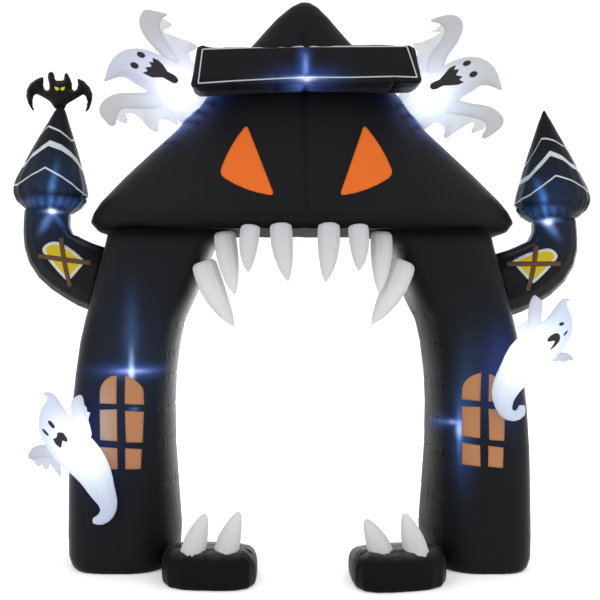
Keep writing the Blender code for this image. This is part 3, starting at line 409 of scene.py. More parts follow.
def add_skin(node, cell, rounds, seams, material, pulls=(), form=None):
    """Dresses a CAD body and gives the piece and its points. A pull is a place, a move and a reach."""
    points, faces = remeshed(node, cell)
    points = evened(points, faces, rounds)
    points = evened(form(points), faces, 6) if form else points
    for place, move, reach in pulls:
        near = np.exp(-(((points - place) / reach) ** 2).sum(axis=1))
        points = points + near[:, None] * np.array(move)
    points, nearest = puckered(points, faces, seams)
    piece = add_piece(node + "_skin", points, faces, [node], material)
    note(piece, "seam", nearest)
    return piece, points


def roof_at(z):
    return across_at(z, ROOF_ROWS)[1:]


roof_seams = []
for way in (-1, 1):
    width, depth = roof_at(ROOF_WIDEST)
    hem = [
        (x * width, MIDDLE_Y + way * depth * (1 - abs(x) ** 3) ** (1 / 3), 1.628)
        for x in np.linspace(-0.98, 0.98, 25)
    ]
    roof_seams.append(Seam(hem, depth=0.003, pucker=0.003, wave=0.045, reach=0.05))
    centre = [(0.004, MIDDLE_Y + way * d, z) for z, *_, d in ROOF_ROWS[2:11]]
    roof_seams.append(Seam(centre, depth=0.007, pucker=0.002, wave=0.06, reach=0.05))
for side, heights in ROOF_PLEATS.items():
    for z in heights:
        width, depth = roof_at(z)
        pleat = [
            (side * across * width, MIDDLE_Y + back * depth, z + lift)
            for across, back, lift in ((0.84, -0.76, -0.03), (0.95, -0.5, 0.0), (1.0, 0.3, 0.0))
        ]
        roof_seams.append(Seam(pleat, depth=0.006, pucker=0.003, wave=0.02, reach=0.022))
for x in (-0.20, 0.0, 0.20):
    underside = [(x, -0.22, 1.576), (x, 0.40, 1.576)]
    roof_seams.append(Seam(underside, depth=0.003, pucker=0.002, wave=0.04, reach=0.05))
roof_cloth = black_cloth("roof cloth", ROOF_LIGHTS, dull_painted_shades=ROOF_SHADE)
roof_skin, _ = add_skin(
    "roof", 0.011, 20, roof_seams, roof_cloth, ROOF_PULLS,
    form=lambda points: rounded_out(points, ROOF_ROWS, ROOF_BOXINESS),
)


# ---------- Legs ----------
# Two pillars that open from the roof and stand on their flat ends. Each is a black cloth
# bag, gathered in short creases on the doorway side and closed by a seam at the back. A
# lamp in each shines out beside its window.
LEG_ROWS = (  # height, outer x, inner x, half depth
    (0.000, 1.061, 0.621, 0.303), (0.012, 1.075, 0.606, 0.316), (0.050, 1.089, 0.591, 0.320),
    (0.150, 1.094, 0.585, 0.312), (0.350, 1.094, 0.599, 0.300), (0.550, 1.090, 0.613, 0.300),
    (0.750, 1.076, 0.617, 0.300), (0.900, 1.060, 0.610, 0.298), (1.050, 1.039, 0.591, 0.296),
    (1.150, 1.017, 0.570, 0.294), (1.310, 0.975, 0.500, 0.291), (1.430, 0.943, 0.451, 0.290),
    (1.500, 0.925, 0.423, 0.290), (1.545, 0.915, 0.378, 0.290), (1.576, 0.905, 0.303, 0.290),
)
LEG_SHIFTS = -0.015, 0.004  # the outer and the inner sides stand this far right of even
LEG_BOXINESS, DOORWAY_BOXINESS = 3.6, 2.6
LEG_CREASES = {  # heights of the creases
    "left": (1.14, 1.0, 0.90, 0.75, 0.585, 0.40),
    "right": (1.185, 1.06, 0.86, 0.70, 0.545, 0.33, 0.17),
}
CREASE_SAG = 0.0000075  # how fast a crease drops away from its highest place
CREASE_TURNS = range(44, -48, -8)
BACK_SEAM_TURN = 226
LEG_LIGHTS = {
    "left": (
        light((-0.788, -0.206, 0.916), (0.013, 0.3, 0.024), "dce8ff", 1.0),
        light((-0.786, -0.206, 0.924), (0.066, 0.3, 0.011), "9db4ec", 0.8),
        light((-0.786, -0.206, 0.924), (0.140, 0.14, 0.030), "3c58a6", 0.75),
        light((-0.788, -0.206, 0.955), (0.011, 0.3, 0.060), "9cc0f0", 0.7),
        light((-0.790, -0.206, 1.07), (0.034, 0.3, 0.170), "34527e", 0.62),
        light((-0.784, -0.206, 1.00), (0.17, 0.4, 0.27), "1c3050", 0.36),
        # painted light from the side ghost's lamp, cast on the leg
        light((-0.95, -0.206, 0.62), (0.13, 0.4, 0.22), "1c2a5c", 0.6),
        light((-0.775, -0.206, 0.750), (0.020, 0.3, 0.010), "4a6fae", 0.6),
    ),
    "right": (
        light((0.714, -0.206, 0.655), (0.012, 0.3, 0.032), "a8c4ff", 0.9),
        light((0.682, -0.206, 0.686), (0.046, 0.16, 0.011), "86a4f0", 0.9),
        light((0.618, -0.206, 0.686), (0.045, 0.18, 0.032), "3058b4", 0.85),
        light((0.714, -0.206, 0.640), (0.009, 0.3, 0.100), "4a78c4", 0.7),
        light((0.732, -0.206, 0.66), (0.042, 0.3, 0.20), "24457c", 0.85),
        light((0.750, -0.206, 0.90), (0.050, 0.4, 0.20), "1c344c", 0.5),
        # painted light from the side ghost's lamp, cast on the leg
        light((0.90, -0.206, 0.90), (0.09, 0.4, 0.19), "2e4486", 0.7),
    ),
}
LEG_SHADES = {  # painted shade, also made rougher: under the roof, and on the right leg's doorway side
    "left": [((-0.65, 0.0, 1.59), (0.5, 0.6, 0.055), 1.6)],
    "right": [((0.65, 0.0, 1.59), (0.5, 0.6, 0.055), 1.6), ((0.57, 0.09, 0.75), (0.055, 0.40, 0.62), 0.55)],
}


def leg_boxiness(points, side):
    """The doorway side of a leg bulges out rounder, below the teeth that root in its corner."""
    ahead = 0.5 - 0.5 * np.tanh((side * points[:, 0] - 0.80) / 0.05)
    low = 0.5 - 0.5 * np.tanh((points[:, 2] - 1.20) / 0.06)
    return LEG_BOXINESS - (LEG_BOXINESS - DOORWAY_BOXINESS) * ahead * low


def on_leg(rows, side, turn, z):
    """A place on a leg's skin: turn runs from 0 on the doorway side to 90 degrees at the front."""
    middle, width, depth = across_at(z, rows)
    c, n = math.cos(math.radians(turn)), math.sin(math.radians(turn))
    boxiness = DOORWAY_BOXINESS if c > 0 and z < 1.2 else LEG_BOXINESS
    reach = (abs(c) ** boxiness + abs(n) ** boxiness) ** (-1 / boxiness)
    return middle - side * width * c * reach, MIDDLE_Y - depth * n * reach, z


leg_skins = {}
for name, side in (("left", -1), ("right", 1)):
    rows = []
    for height, outer, inner, depth in LEG_ROWS:
        outer, inner = side * outer + LEG_SHIFTS[0], side * inner + LEG_SHIFTS[1]
        rows.append((height, (outer + inner) / 2, abs(outer - inner) / 2, depth))
    leg_seams = []
    for height in LEG_CREASES[name]:
        crease = [on_leg(rows, side, turn, height - CREASE_SAG * (turn - 10) ** 2) for turn in CREASE_TURNS]
        leg_seams.append(Seam(crease, depth=0.006, pucker=0.003, wave=0.018, reach=0.011))
    back = [on_leg(rows, side, BACK_SEAM_TURN, z) for z in np.linspace(0.03, 1.54, 16)]
    leg_seams.append(Seam(back, depth=0.0012, pucker=0.0016, wave=0.045, reach=0.03))
    leg_cloth = black_cloth(f"leg cloth {name}", LEG_LIGHTS[name], dull_painted_shades=LEG_SHADES[name])
    leg_skins[name], _ = add_skin(
        "leg_" + name, 0.010, 12, leg_seams, leg_cloth,
        form=lambda points: rounded_out(points, rows, leg_boxiness(points, side)),
    )


# ---------- Towers and turrets ----------
# Bent arms of black cloth sewn to the legs' outer sides, with folds at the elbow. Each ends
# in a pointed cap with three printed zigzag lines, gathered under its hem, where a lamp
# shines through.
TOWER_LIGHTS = {
    "left": (
        light((-1.191, -0.03, 1.673), (0.015, 0.1, 0.011), "ffffff", 1.2),
        light((-1.191, -0.03, 1.672), (0.035, 0.1, 0.009), "b9cdfb", 0.7),
        light((-1.176, -0.03, 1.79), (0.016, 0.2, 0.085), "4a7cc4", 0.75, 8),
        light((-1.214, -0.03, 1.63), (0.018, 0.1, 0.055), "6488d4", 0.8, 29),
        light((-1.172, -0.03, 1.64), (0.012, 0.1, 0.05), "4a6cc0", 0.6, -35),
        light((-1.19, 0.0, 1.715), (0.10, 0.2, 0.022), "4a74c4", 0.9),
        light((-1.185, 0.0, 1.75), (0.13, 0.3, 0.19), "163256", 0.65),
    ),
    "right": (
        light((1.182, -0.03, 1.622), (0.016, 0.1, 0.014), "ffffff", 1.2),
        light((1.182, -0.03, 1.630), (0.040, 0.1, 0.010), "8fb0f4", 0.8),
        light((1.140, -0.03, 1.73), (0.015, 0.2, 0.07), "4076c4", 0.8, -14),
        light((1.190, -0.03, 1.60), (0.018, 0.1, 0.05), "6f92e0", 0.7, -30),
        light((1.160, 0.0, 1.675), (0.055, 0.2, 0.024), "4a78c8", 0.8),
        light((1.16, 0.0, 1.70), (0.14, 0.3, 0.18), "143050", 0.65),
    ),
}
TOWER_FOLDS = (  # x without its sign, and the left tower's heights
    ((0.915, -0.04, 1.45), (0.92, 0.09, 1.47), (0.93, 0.2, 1.45)),
    ((1.11, -0.03, 1.56), (1.10, 0.09, 1.58), (1.11, 0.2, 1.56)),
)
Turret = namedtuple("Turret", "x z lean lines half_widths")
TURRETS = {  # each printed line is a row of angles from the front and heights along the axis
    "left": Turret(
        -1.2195, 1.764, 0.115,
        (
            ((-90, 0.264), (-69, 0.281), (-35, 0.323), (19, 0.303), (63, 0.268), (86, 0.277),
             (90, 0.279)),
            ((-90, 0.109), (-56, 0.125), (-44, 0.168), (-8, 0.235), (26, 0.220), (53, 0.193),
             (82, 0.147), (90, 0.135)),
            ((-90, 0.017), (-74, 0.018), (-47, 0.020), (-3, 0.111), (27, 0.077), (68, 0.016),
             (90, 0.014)),
        ),
        (0.0045, 0.0145, 0.0045),
    ),
    "right": Turret(
        1.2285, 1.720, -0.088,
        (
            ((-90, 0.190), (-73, 0.217), (-38, 0.313), (-16, 0.309), (11, 0.295), (31, 0.274),
             (90, 0.235)),
            ((-90, 0.116), (-63, 0.129), (-12, 0.234), (16, 0.207), (37, 0.165), (90, 0.125)),
            ((-90, 0.016), (-83, 0.019), (-51, 0.044), (-7, 0.120), (16, 0.096), (37, 0.064),
             (48, 0.045), (90, 0.020)),
        ),
        (0.0040, 0.0130, 0.0040),
    ),
}
TURRET_HEIGHT = 0.447
GATHERS = 24  # round each cap's underside
GATHER_ENDS = ((-0.03, 0.174), (-0.075, 0.13))  # drop and radius


def round_turret(base, axis, turn, drop, radius):
    """A place round a cap's axis, this far along it and out from it."""
    return tuple(base + axis * drop + Vector((radius * math.cos(turn), radius * math.sin(turn), 0)))


tower_skins = {}
for name, side, lower in (("left", -1, 0.0), ("right", 1, 0.03)):
    folds = []
    for line in TOWER_FOLDS:
        fold = [(side * x, y, z - lower) for x, y, z in line]
        folds.append(Seam(fold, depth=0.008, pucker=0.006, wave=0.03, reach=0.05))
    tower_cloth = black_cloth(f"tower cloth {name}", TOWER_LIGHTS[name])
    tower_skins[name], _ = add_skin("tower_" + name, 0.008, 30, folds, tower_cloth)
    turret = TURRETS[name]
    axis = Vector((turret.lean, 0, 1)).normalized()
    base = Vector((turret.x, MIDDLE_Y, turret.z))
    ring = [round_turret(base, axis, turn, -0.020, 0.178) for turn in np.linspace(0, math.tau, 49)]
    gathers = [Seam(ring, depth=0.009, pucker=0.009, wave=0.021, reach=0.022)]
    for turn in np.linspace(0, math.tau, GATHERS + 1)[:-1] + 0.1:
        spoke = [round_turret(base, axis, turn, drop, radius) for drop, radius in GATHER_ENDS]
        gathers.append(Seam(spoke, depth=0.005, pucker=0.002, wave=0.02, reach=0.010))
    turret_cloth = black_cloth(f"turret cloth {name}", TOWER_LIGHTS[name], turret.half_widths, "c3c9cc", 1.4)
    pulls = [(tuple(base + axis * TURRET_HEIGHT), (0, 0, 0.012), (0.02, 0.02, 0.02))]
    turret_skin, points = add_skin("turret_" + name, 0.006, 12, gathers, turret_cloth, pulls)
    offset = points - np.array(base)
    height = offset @ np.array(axis)
    sideways = offset[:, 0] - turret.lean * height
    angle = np.degrees(np.arctan2(sideways, np.abs(offset[:, 1])))
    ways = [height - np.interp(angle, *zip(*line)) for line in turret.lines]
    note(turret_skin, "print", np.stack(ways, axis=1))


# ---------- Sign ----------
# A long black box of cloth sewn across the roof's front, with a pale border printed on its
# face. The place inside it stays bare. Ties pull its lower edge in at four places, and a
# lamp shows low in the middle.
SIGN_LIGHTS = (
    light((0.006, -0.27, 2.243), (0.040, 0.1, 0.009), "ffffff", 1.2),
    light((0.000, -0.27, 2.243), (0.140, 0.1, 0.012), "7f9ee4", 0.75),
    light((0.004, -0.27, 2.29), (0.012, 0.1, 0.055), "86a8f0", 0.6),
    light((0.006, -0.27, 2.25), (0.13, 0.2, 0.045), "2c4a98", 0.55),
    light((-0.002, -0.27, 2.33), (0.026, 0.1, 0.090), "3a5cb4", 0.6),
    light((-0.01, -0.27, 2.213), (0.05, 0.1, 0.022), "5068b8", 0.8),
)
SIGN_BORDER = (
    (-0.479, 2.475), (-0.247, 2.482), (-0.002, 2.488), (0.242, 2.488), (0.520, 2.489), (0.545, 2.417),
    (0.570, 2.338), (0.462, 2.342), (0.242, 2.337), (0.017, 2.337), (-0.115, 2.331), (-0.325, 2.320),
    (-0.500, 2.308),
)
SIGN_FACE_Y = -0.245  # the face lies in front of this, the ends and the back behind it
SIGN_TIES = ((-0.317, 0.5), (-0.124, 0.4), (0.006, 1.0), (0.405, 0.8))  # place along x, and strength
SIGN_SWELLS = (  # where the top edge bulges: x, z, how far aside, and reach
    (0.505, 2.400, 0.010, 0.035),
    (-0.27, 2.385, 0.0, 0.16),
    (0.25, 2.395, 0.0, 0.16),
    (0.0, 2.39, 0.0, 0.10),
)


def inside(points, outline):
    """Which points lie in a closed outline."""
    x, z = points.T
    hit = np.zeros(len(points), bool)
    for (ax, az), (bx, bz) in zip(outline, np.roll(outline, -1, axis=0)):
        crossed = (az > z) != (bz > z)
        hit ^= crossed & (x < (bx - ax) * (z - az) / ((bz - az) or 1) + ax)
    return hit


def edge_distance(points, outline):
    """How far points lie from a closed outline, less than 0 inside it."""
    outline = np.array(outline)
    gap, _ = along_line(points, np.vstack([outline, outline[:1]]))
    return np.where(inside(points, outline), -gap, gap)


def seen(points):
    """Where points show from the front, as x and z on the arch's middle plane."""
    scale = (MIDDLE_Y - EYE[1]) / (points[:, 1] - EYE[1])
    return EYE[[0, 2]] + (points[:, [0, 2]] - EYE[[0, 2]]) * scale[:, None]


sign_seams, sign_pulls = [], []
for x, strength in SIGN_TIES:
    tie = [(x, -0.272, 2.250), (x, -0.26, 2.225), (x, -0.10, 2.216)]
    sign_seams.append(Seam(tie, depth=0.010 * strength, pucker=0.004, wave=0.02, reach=0.022))
top_tie = [(0.006, -0.272, 2.375), (0.006, -0.26, 2.395), (0.006, -0.10, 2.395)]
sign_seams.append(Seam(top_tie, depth=0.006, pucker=0.004, wave=0.02, reach=0.03))
for z, y in ((2.236, -0.268), (2.392, -0.262)):
    edge = [(x, y, z) for x in np.linspace(-0.49, 0.50, 12)]
    sign_seams.append(Seam(edge, depth=0.0022, pucker=0.0030, wave=0.035, reach=0.018))
for x, z, aside, reach in SIGN_SWELLS:
    sign_pulls += [((x, y, z), (aside, 0.0, 0.011), (reach, 0.06, 0.05)) for y in (-0.272, -0.03)]
sign_pulls += [((-0.52, y, 2.380), (-0.004, 0.0, 0.040), (0.075, 0.07, 0.055)) for y in (-0.272, -0.03)]
for x, aside in ((-0.50, -0.010), (0.51, 0.010)):
    sign_pulls.append(((x, -0.26, 2.222), (aside, 0.0, -0.006), (0.03, 0.05, 0.03)))
sign_cloth = black_cloth("sign cloth", SIGN_LIGHTS, (0.0028,), "b9bdc0")
sign_skin, points = add_skin("sign", 0.006, 5, sign_seams, sign_cloth, sign_pulls)
border = np.where(points[:, 1] < SIGN_FACE_Y, edge_distance(seen(points), SIGN_BORDER), 1.0)
note(sign_skin, "print", np.stack([border] * 3, axis=1))


# ---------- Bat ----------
# A small black bag cut as a bat with its wings spread, sewn to the tip of the left turret.
# Its two yellow eyes are printed.
BAT_EYES = (
    ((-1.203, 2.292), (-1.182, 2.287), (-1.180, 2.278), (-1.189, 2.271), (-1.197, 2.276)),
    ((-1.151, 2.292), (-1.171, 2.286), (-1.172, 2.277), (-1.163, 2.272), (-1.154, 2.277)),
)


def bat_cloth():
    graph = Graph("bat cloth")
    printed = graph.below(graph.noted("print"), 0, 0.0012)
    colour = graph.mix(printed, paint("09090b"), paint("c8c81e", PALE))
    return graph.finish(colour, 0.5, Specular_IOR_Level=0.10, Normal=graph.weave(30, 0.3))


bat_skin, points = add_skin("bat", 0.0032, 5, [], bat_cloth())
flat = seen(points)
eyes = np.minimum(*[edge_distance(flat, outline) for outline in BAT_EYES])
note(bat_skin, "print", np.where(points[:, 1] < MIDDLE_Y, eyes, 1.0))


# ---------- Feet ----------
# The lower jaw: two low black pods that stand flat in front of the legs. A top and a side
# cloth are sewn together round the rim, which puckers there.
FOOT_WIDTH, FOOT_DEPTH = 0.216, 0.232  # half of each
FEET = (("left", -0.428, -0.236, -0.06), ("right", 0.414, -0.251, 0.19))  # name, x, y and skew
FOOT_RIMS = (  # how far out, height, depth and pucker
    (0.965, 0.138, 0.004, 0.003),
    (0.87, 0.152, 0.002, 0.010),
    (0.70, 0.160, 0.001, 0.006),
)
FOOT_LIGHTS = (  # painted highlight: the grey shine along the tops' front edges, given off as the cloth's own light
    light((0.41, -0.43, 0.156), (0.30, 0.10, 0.017), "5c5c5c", 0.7),
    light((-0.43, -0.42, 0.156), (0.30, 0.10, 0.017), "5c5c5c", 0.7),
)


def foot_rim(x, y, skew, spread, height):
    """A line round a foot's top. It falls away towards the back."""
    rim = []
    for turn in np.linspace(0, math.tau, 61):
        c, n = math.cos(turn), math.sin(turn)
        reach = spread * (abs(c) ** 3.6 + abs(n) ** 3.6) ** (-1 / 3.6)
        across, back = FOOT_WIDTH * reach * c, FOOT_DEPTH * reach * n
        fall = 1 - 0.46 * (max(0, back / FOOT_DEPTH + 0.35) / 1.35) ** 1.3
        rim.append((x + across, y + back + across * skew, height * fall))
    return rim


foot_cloth = black_cloth("foot cloth", FOOT_LIGHTS, mottle=1.4, sheen=0.03)
for name, x, y, skew in FEET:
    foot_seams = [
        Seam(foot_rim(x, y, skew, spread, height), depth, pucker, wave=0.026, reach=0.022)
        for spread, height, depth, pucker in FOOT_RIMS
    ]
    add_skin("foot_" + name, 0.007, 24, foot_seams, foot_cloth)


# ---------- Teeth ----------
# Off-white cloth cones, each its own small bag: eight sewn round the doorway's upper edge and
# four on the feet. They are painted greyer at the root, as painted shade where less light comes through, and
# give off a little painted light of their own.
LOW_TEETH = ((-0.503, -0.42, 0.012), (-0.359, -0.42, 0.012), (0.334, -0.428, 0.022), (0.484, -0.428, 0.022))


def tooth_cloth(name, root, tip):
    graph = Graph(name)
    height = graph.node("SeparateXYZ", {0: graph.place}, output="Z")
    share = graph.node("MapRange", {"Value": height, "From Min": root, "From Max": tip})
    # Painted shade: greyer towards the root, in the colour and in the painted light the cloth gives off.
    colour = graph.mix(share, paint("b9bbbf", 0.68), paint("cfcfcd", 0.68))
    own = graph.mix(share, paint("b9bbbf", 0.16), paint("cfcfcd", 0.20))
    return graph.finish(colour, 0.6, own, Specular_IOR_Level=0.15, Normal=graph.weave(20, 0.15))


top_tooth_cloth = tooth_cloth("top tooth cloth", 1.60, 1.30)
low_tooth_cloth = tooth_cloth("low tooth cloth", 0.12, 0.30)
for number in range(1, 9):
    add_skin(f"tooth_top_{number}", 0.005, 4, [], top_tooth_cloth)
for number, (x, y, drop) in enumerate(LOW_TEETH, 1):
    hem = [((x, y, 0.135), (0.0, -0.010, -drop), (0.07, 0.05, 0.03))]
    add_skin(f"tooth_low_{number}", 0.005, 10, [], low_tooth_cloth, hem)


# ---------- Eyes, windows and lanterns ----------
# Cloth cut to shape and sewn flat on the skin under it, with a stitched hem: orange eyes on
# the roof, six tan panes for each leg's window, and yellow lanterns with a pale rim on the
# towers, each crossed by two brown bars.
PATCH_THICKNESS = 0.0012
PATCH_LIFT = 0.0016  # from the skin to the cloth's middle
# Painted light from the side ghosts' lamps, cast on the panes beside them.
PANE_LIGHTS = (
    light((-0.93, -0.206, 0.68), (0.065, 0.2, 0.16), "346c7e", 1.0),
    light((0.92, -0.206, 0.84), (0.06, 0.2, 0.10), "4a6c8e", 0.9),
)
BAR_WIDTH = 0.022
BARS = {  # each bar's ends
    "left": (((-1.147, 1.545), (-1.100, 1.312)), ((-1.252, 1.458), (-1.000, 1.423))),
    "right": (((1.121, 1.511), (1.066, 1.294)), ((0.972, 1.420), (1.228, 1.421))),
}


def sewn_cloth(name, code, rim=None, lights=()):
    """A flat sewn-on piece with a hem line, and a rim of another colour where one is given."""
    graph = Graph(name)
    edge = graph.noted("edge")
    colour = graph.mix(graph.noise(6), paint(code, 0.96 * PALE), paint(code, 1.04 * PALE))
    if rim:
        colour = graph.mix(graph.below(edge * -1, 0.0135, 0.001), colour, paint(rim, PALE))
    hem = graph.below((edge + 0.004).math("ABSOLUTE"), 0.0007, 0.0006)
    dashes = graph.bands("DIAGONAL", Scale=40)
    colour = graph.mix(hem * dashes * 0.45, colour, paint("202020"))
    # Painted light from lamps nearby, where lights are given.
    own = graph.glow(lights)
    return graph.finish(colour, 0.7, own, Specular_IOR_Level=0.08, Normal=graph.weave(18, 0.15))


def filled(outline, cell):
    """An outline filled with even triangles: points as x and z, and faces."""
    outline = np.array(outline)
    closed = np.vstack([outline, outline[:1]])
    rim = []
    for start, end in zip(closed[:-1], closed[1:]):
        steps = max(1, round(np.linalg.norm(end - start) / cell))
        rim += [start + (end - start) * i / steps for i in range(steps)]
    low, high = outline.min(axis=0), outline.max(axis=0)
    columns, rows = (np.arange(low[way], high[way], cell) for way in (0, 1))
    grid = np.array([(x, z) for x in columns for z in rows])
    grid = grid[edge_distance(grid, outline) < -0.6 * cell]
    every = [Vector(p) for p in [*rim, *grid]]
    found = delaunay_2d_cdt(every, [], [list(range(len(rim)))], 1, 1e-6)
    return np.array([tuple(p) for p in found[0]]), [tuple(face) for face in found[2]]


def cad_outline(node):
    """A patch's outline in the front view, from the walls of its CAD node."""
    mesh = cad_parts[node].data
    wall = {v for face in mesh.polygons if abs(face.normal.y) < 0.15 for v in face.vertices}
    corners = np.unique(np.round([[mesh.vertices[v].co.x, mesh.vertices[v].co.z] for v in wall], 4), axis=0)
    middle = (corners.min(axis=0) + corners.max(axis=0)) / 2
    turn = np.arctan2(corners[:, 1] - middle[1], corners[:, 0] - middle[0])
    return corners[np.argsort(turn)]


def declare_sheet(points, faces):
    """Works out a sheet's flat size, stretched to the area of its cloth, and keeps nothing."""
    triangles = np.asarray(points)[np.array(faces)]
    sides = triangles[:, 1:] - triangles[:, :1]
    area = 0.5 * np.linalg.norm(np.cross(sides[:, 0], sides[:, 1]), axis=1).sum()
    spread = np.asarray(points)[:, [0, 2]]
    middle = spread.mean(axis=0)
    ways = np.linalg.svd(spread - middle, full_matrices=False)[2]
    local = (spread - middle) @ ways.T
    size = local.max(axis=0) - local.min(axis=0)
    stretch = max(1.0, (area / (size[0] * size[1])) ** 0.5)
    [float(s * stretch) for s in size]


def give_wall(piece, thickness):
    """Gives a sheet its cloth's thickness."""
    wall = piece.modifiers.new("cloth", "SOLIDIFY")
    wall.thickness = thickness
    wall.offset = 0


def add_patch(name, outline, skin, node, material, lift=PATCH_LIFT):
    """Lays a sheet of this outline on a skin."""
    flat, faces = filled(outline, 0.009)
    tree = BVHTree.FromObject(skin, bpy.context.evaluated_depsgraph_get())
    depths, last = [], MIDDLE_Y
    for x, z in flat:
        hit = tree.ray_cast(Vector((x, -2, z)), Vector((0, 1, 0)))[0]
        last = hit.y if hit else last
        depths.append(last - lift)
    points = np.stack([flat[:, 0], depths, flat[:, 1]], axis=1)
    piece = add_piece(name, points, faces, [node], material)
    note(piece, "edge", edge_distance(flat, outline))
    give_wall(piece, PATCH_THICKNESS)
    declare_sheet(points, faces)


orange, tan = sewn_cloth("orange cloth", "de6a26"), sewn_cloth("tan cloth", "b27d56", lights=PANE_LIGHTS)
yellow, brown = sewn_cloth("yellow cloth", "bfab1e", "c6c8cc"), sewn_cloth("brown cloth", "5e4634")
for name in ("left", "right"):
    add_patch(f"eye_{name}_patch", cad_outline("eye_" + name), roof_skin, "eye_" + name, orange)
    for number in range(1, 7):
        pane = f"pane_{name}_{number}"
        add_patch(pane + "_patch", cad_outline(pane), leg_skins[name], pane, tan)
    lantern = "lantern_" + name
    add_patch(lantern + "_patch", cad_outline(lantern), tower_skins[name], lantern, yellow)
for name, bars in BARS.items():
    for number, ends in enumerate(bars, 1):
        start, end = np.array(ends)
        along = (end - start) / np.linalg.norm(end - start)
        aside = np.array((-along[1], along[0])) * BAR_WIDTH / 2
        outline = [start - aside, end - aside, end + aside, start + aside]
        bar, node, lift = f"lantern_bar_{name}_{number}", "lantern_bars_" + name, PATCH_LIFT * (1 + number)
        add_patch(bar, outline, tower_skins[name], node, brown, lift)


# ---------- Ghosts ----------
# Four white cloth bags sewn to the roof's sides and the legs, with printed eyes and mouths.
# The lamp in each makes it brightest there and lilac-grey away from it.
GHOST = 0.50  # how much of a ghost's colour is the cloth's own,
OWN_LIGHT = 0.40  # and how much is light from inside
Ghost = namedtuple("Ghost", "lamp reach lean colours eyes mouth ink")
Eye = namedtuple("Eye", "place half_length half_width tilt")
GHOSTS = {
    "top_left": Ghost(
        (-0.560, 0.0, 2.262), (0.125, 0.3, 0.115), -35, ("bcc0d0", "dadff4", "f8fdff"),
        (Eye((-0.779, 2.447), 0.0220, 0.0140, -25), Eye((-0.811, 2.395), 0.0220, 0.0150, -25)),
        ((-0.725, 2.434), (-0.696, 2.422), (-0.673, 2.401), (-0.650, 2.366), (-0.613, 2.347),
         (-0.599, 2.331), (-0.596, 2.319), (-0.603, 2.310), (-0.616, 2.306),
         (-0.626, 2.310), (-0.673, 2.336), (-0.724, 2.336), (-0.738, 2.342), (-0.773, 2.359),
         (-0.745, 2.369), (-0.761, 2.385), (-0.727, 2.390),
         (-0.742, 2.415), (-0.719, 2.409)),
        "38353a",
    ),
    "top_right": Ghost(
        (0.590, 0.0, 2.232), (0.120, 0.3, 0.110), 35, ("bcbdbe", "d2dcec", "f4feff"),
        (Eye((0.813, 2.406), 0.0215, 0.0128, 22), Eye((0.845, 2.352), 0.0215, 0.0145, 24)),
        ((0.761, 2.396), (0.751, 2.375), (0.777, 2.377), (0.760, 2.348), (0.795, 2.341), (0.775, 2.325),
         (0.802, 2.313), (0.768, 2.300),
         (0.732, 2.297), (0.698, 2.296), (0.664, 2.279), (0.647, 2.276), (0.634, 2.284), (0.632, 2.295),
         (0.637, 2.306), (0.650, 2.314),
         (0.679, 2.326), (0.703, 2.353), (0.727, 2.382), (0.749, 2.394)),
        "3a3638",
    ),
    "side_left": Ghost(
        (-0.985, -0.30, 0.61), (0.105, 0.3, 0.135), -38, ("b8c0d4", "dae6fb", "ffffff"),
        (Eye((-1.217, 0.641), 0.0250, 0.0095, -51), Eye((-1.246, 0.602), 0.0250, 0.0065, -47)),
        ((-1.189, 0.598), (-1.178, 0.604), (-1.158, 0.600), (-1.141, 0.576), (-1.137, 0.562),
         (-1.144, 0.553), (-1.163, 0.564), (-1.165, 0.543),
         (-1.170, 0.526), (-1.178, 0.528), (-1.197, 0.545), (-1.211, 0.572), (-1.204, 0.572),
         (-1.192, 0.577)),
        "3e3e41",
    ),
    "side_right": Ghost(
        (0.985, -0.30, 1.01), (0.100, 0.3, 0.135), 38, ("bcc6da", "dae6fa", "ffffff"),
        (Eye((1.276, 1.132), 0.0135, 0.0085, 20), Eye((1.296, 1.087), 0.0170, 0.0048, 53)),
        ((1.205, 1.055), (1.220, 1.074), (1.239, 1.085), (1.253, 1.088), (1.265, 1.083), (1.270, 1.066),
         (1.265, 1.047), (1.248, 1.026),
         (1.222, 1.004), (1.220, 1.009), (1.232, 1.026), (1.243, 1.045), (1.239, 1.050), (1.220, 1.045),
         (1.208, 1.045)),
        "3a3a40",
    ),
}
GHOST_PULLS = {
    "side_left": [((-0.890, -0.28, 0.28), (0.012, 0.0, 0.0), (0.09, 0.40, 0.10))],
    "side_right": [
        ((0.865, -0.28, 0.84), (-0.016, 0.0, 0.0), (0.04, 0.40, 0.10)),
        ((0.93, -0.28, 0.74), (0.0, 0.0, -0.010), (0.06, 0.40, 0.04)),
    ],
}


def white_cloth(name, colours, lamp, reach, lean, ink=None):
    """White cloth over a lamp: three colours from far off to close by, part of them its own light."""
    graph = Graph(name)
    far, near, core = colours
    wide = graph.blob(lamp, [1.9 * r for r in reach], lean).math("MULTIPLY", 1.25, use_clamp=True)
    close = graph.blob(lamp, reach, lean).math("MULTIPLY", 1.2, use_clamp=True)
    # The cloth's colour is painted lighter near the lamp too, as painted light.
    colour = graph.mix(wide, paint(far, GHOST), paint(near, GHOST))
    own = graph.mix(wide, paint(far, OWN_LIGHT), paint(near, OWN_LIGHT))
    own = graph.mix(close, own, paint(core, 0.9))
    if ink:
        printed = graph.below(graph.noted("print"), 0, 0.0014)
        colour = graph.mix(printed, colour, paint(ink, 0.3))
        own = graph.mix(printed, own, paint(ink, 0.35))
    return graph.finish(colour, 0.6, own, Specular_IOR_Level=0.1, Normal=graph.weave(16, 0.12))


def ellipse(eye):
    """An eye's outline."""
    tilt = math.radians(eye.tilt)
    turns = np.linspace(0, math.tau, 25)[:-1]
    along, across = eye.half_length * np.cos(turns), eye.half_width * np.sin(turns)
    x = eye.place[0] + along * math.cos(tilt) - across * math.sin(tilt)
    z = eye.place[1] + along * math.sin(tilt) + across * math.cos(tilt)
    return np.stack([x, z], axis=1)


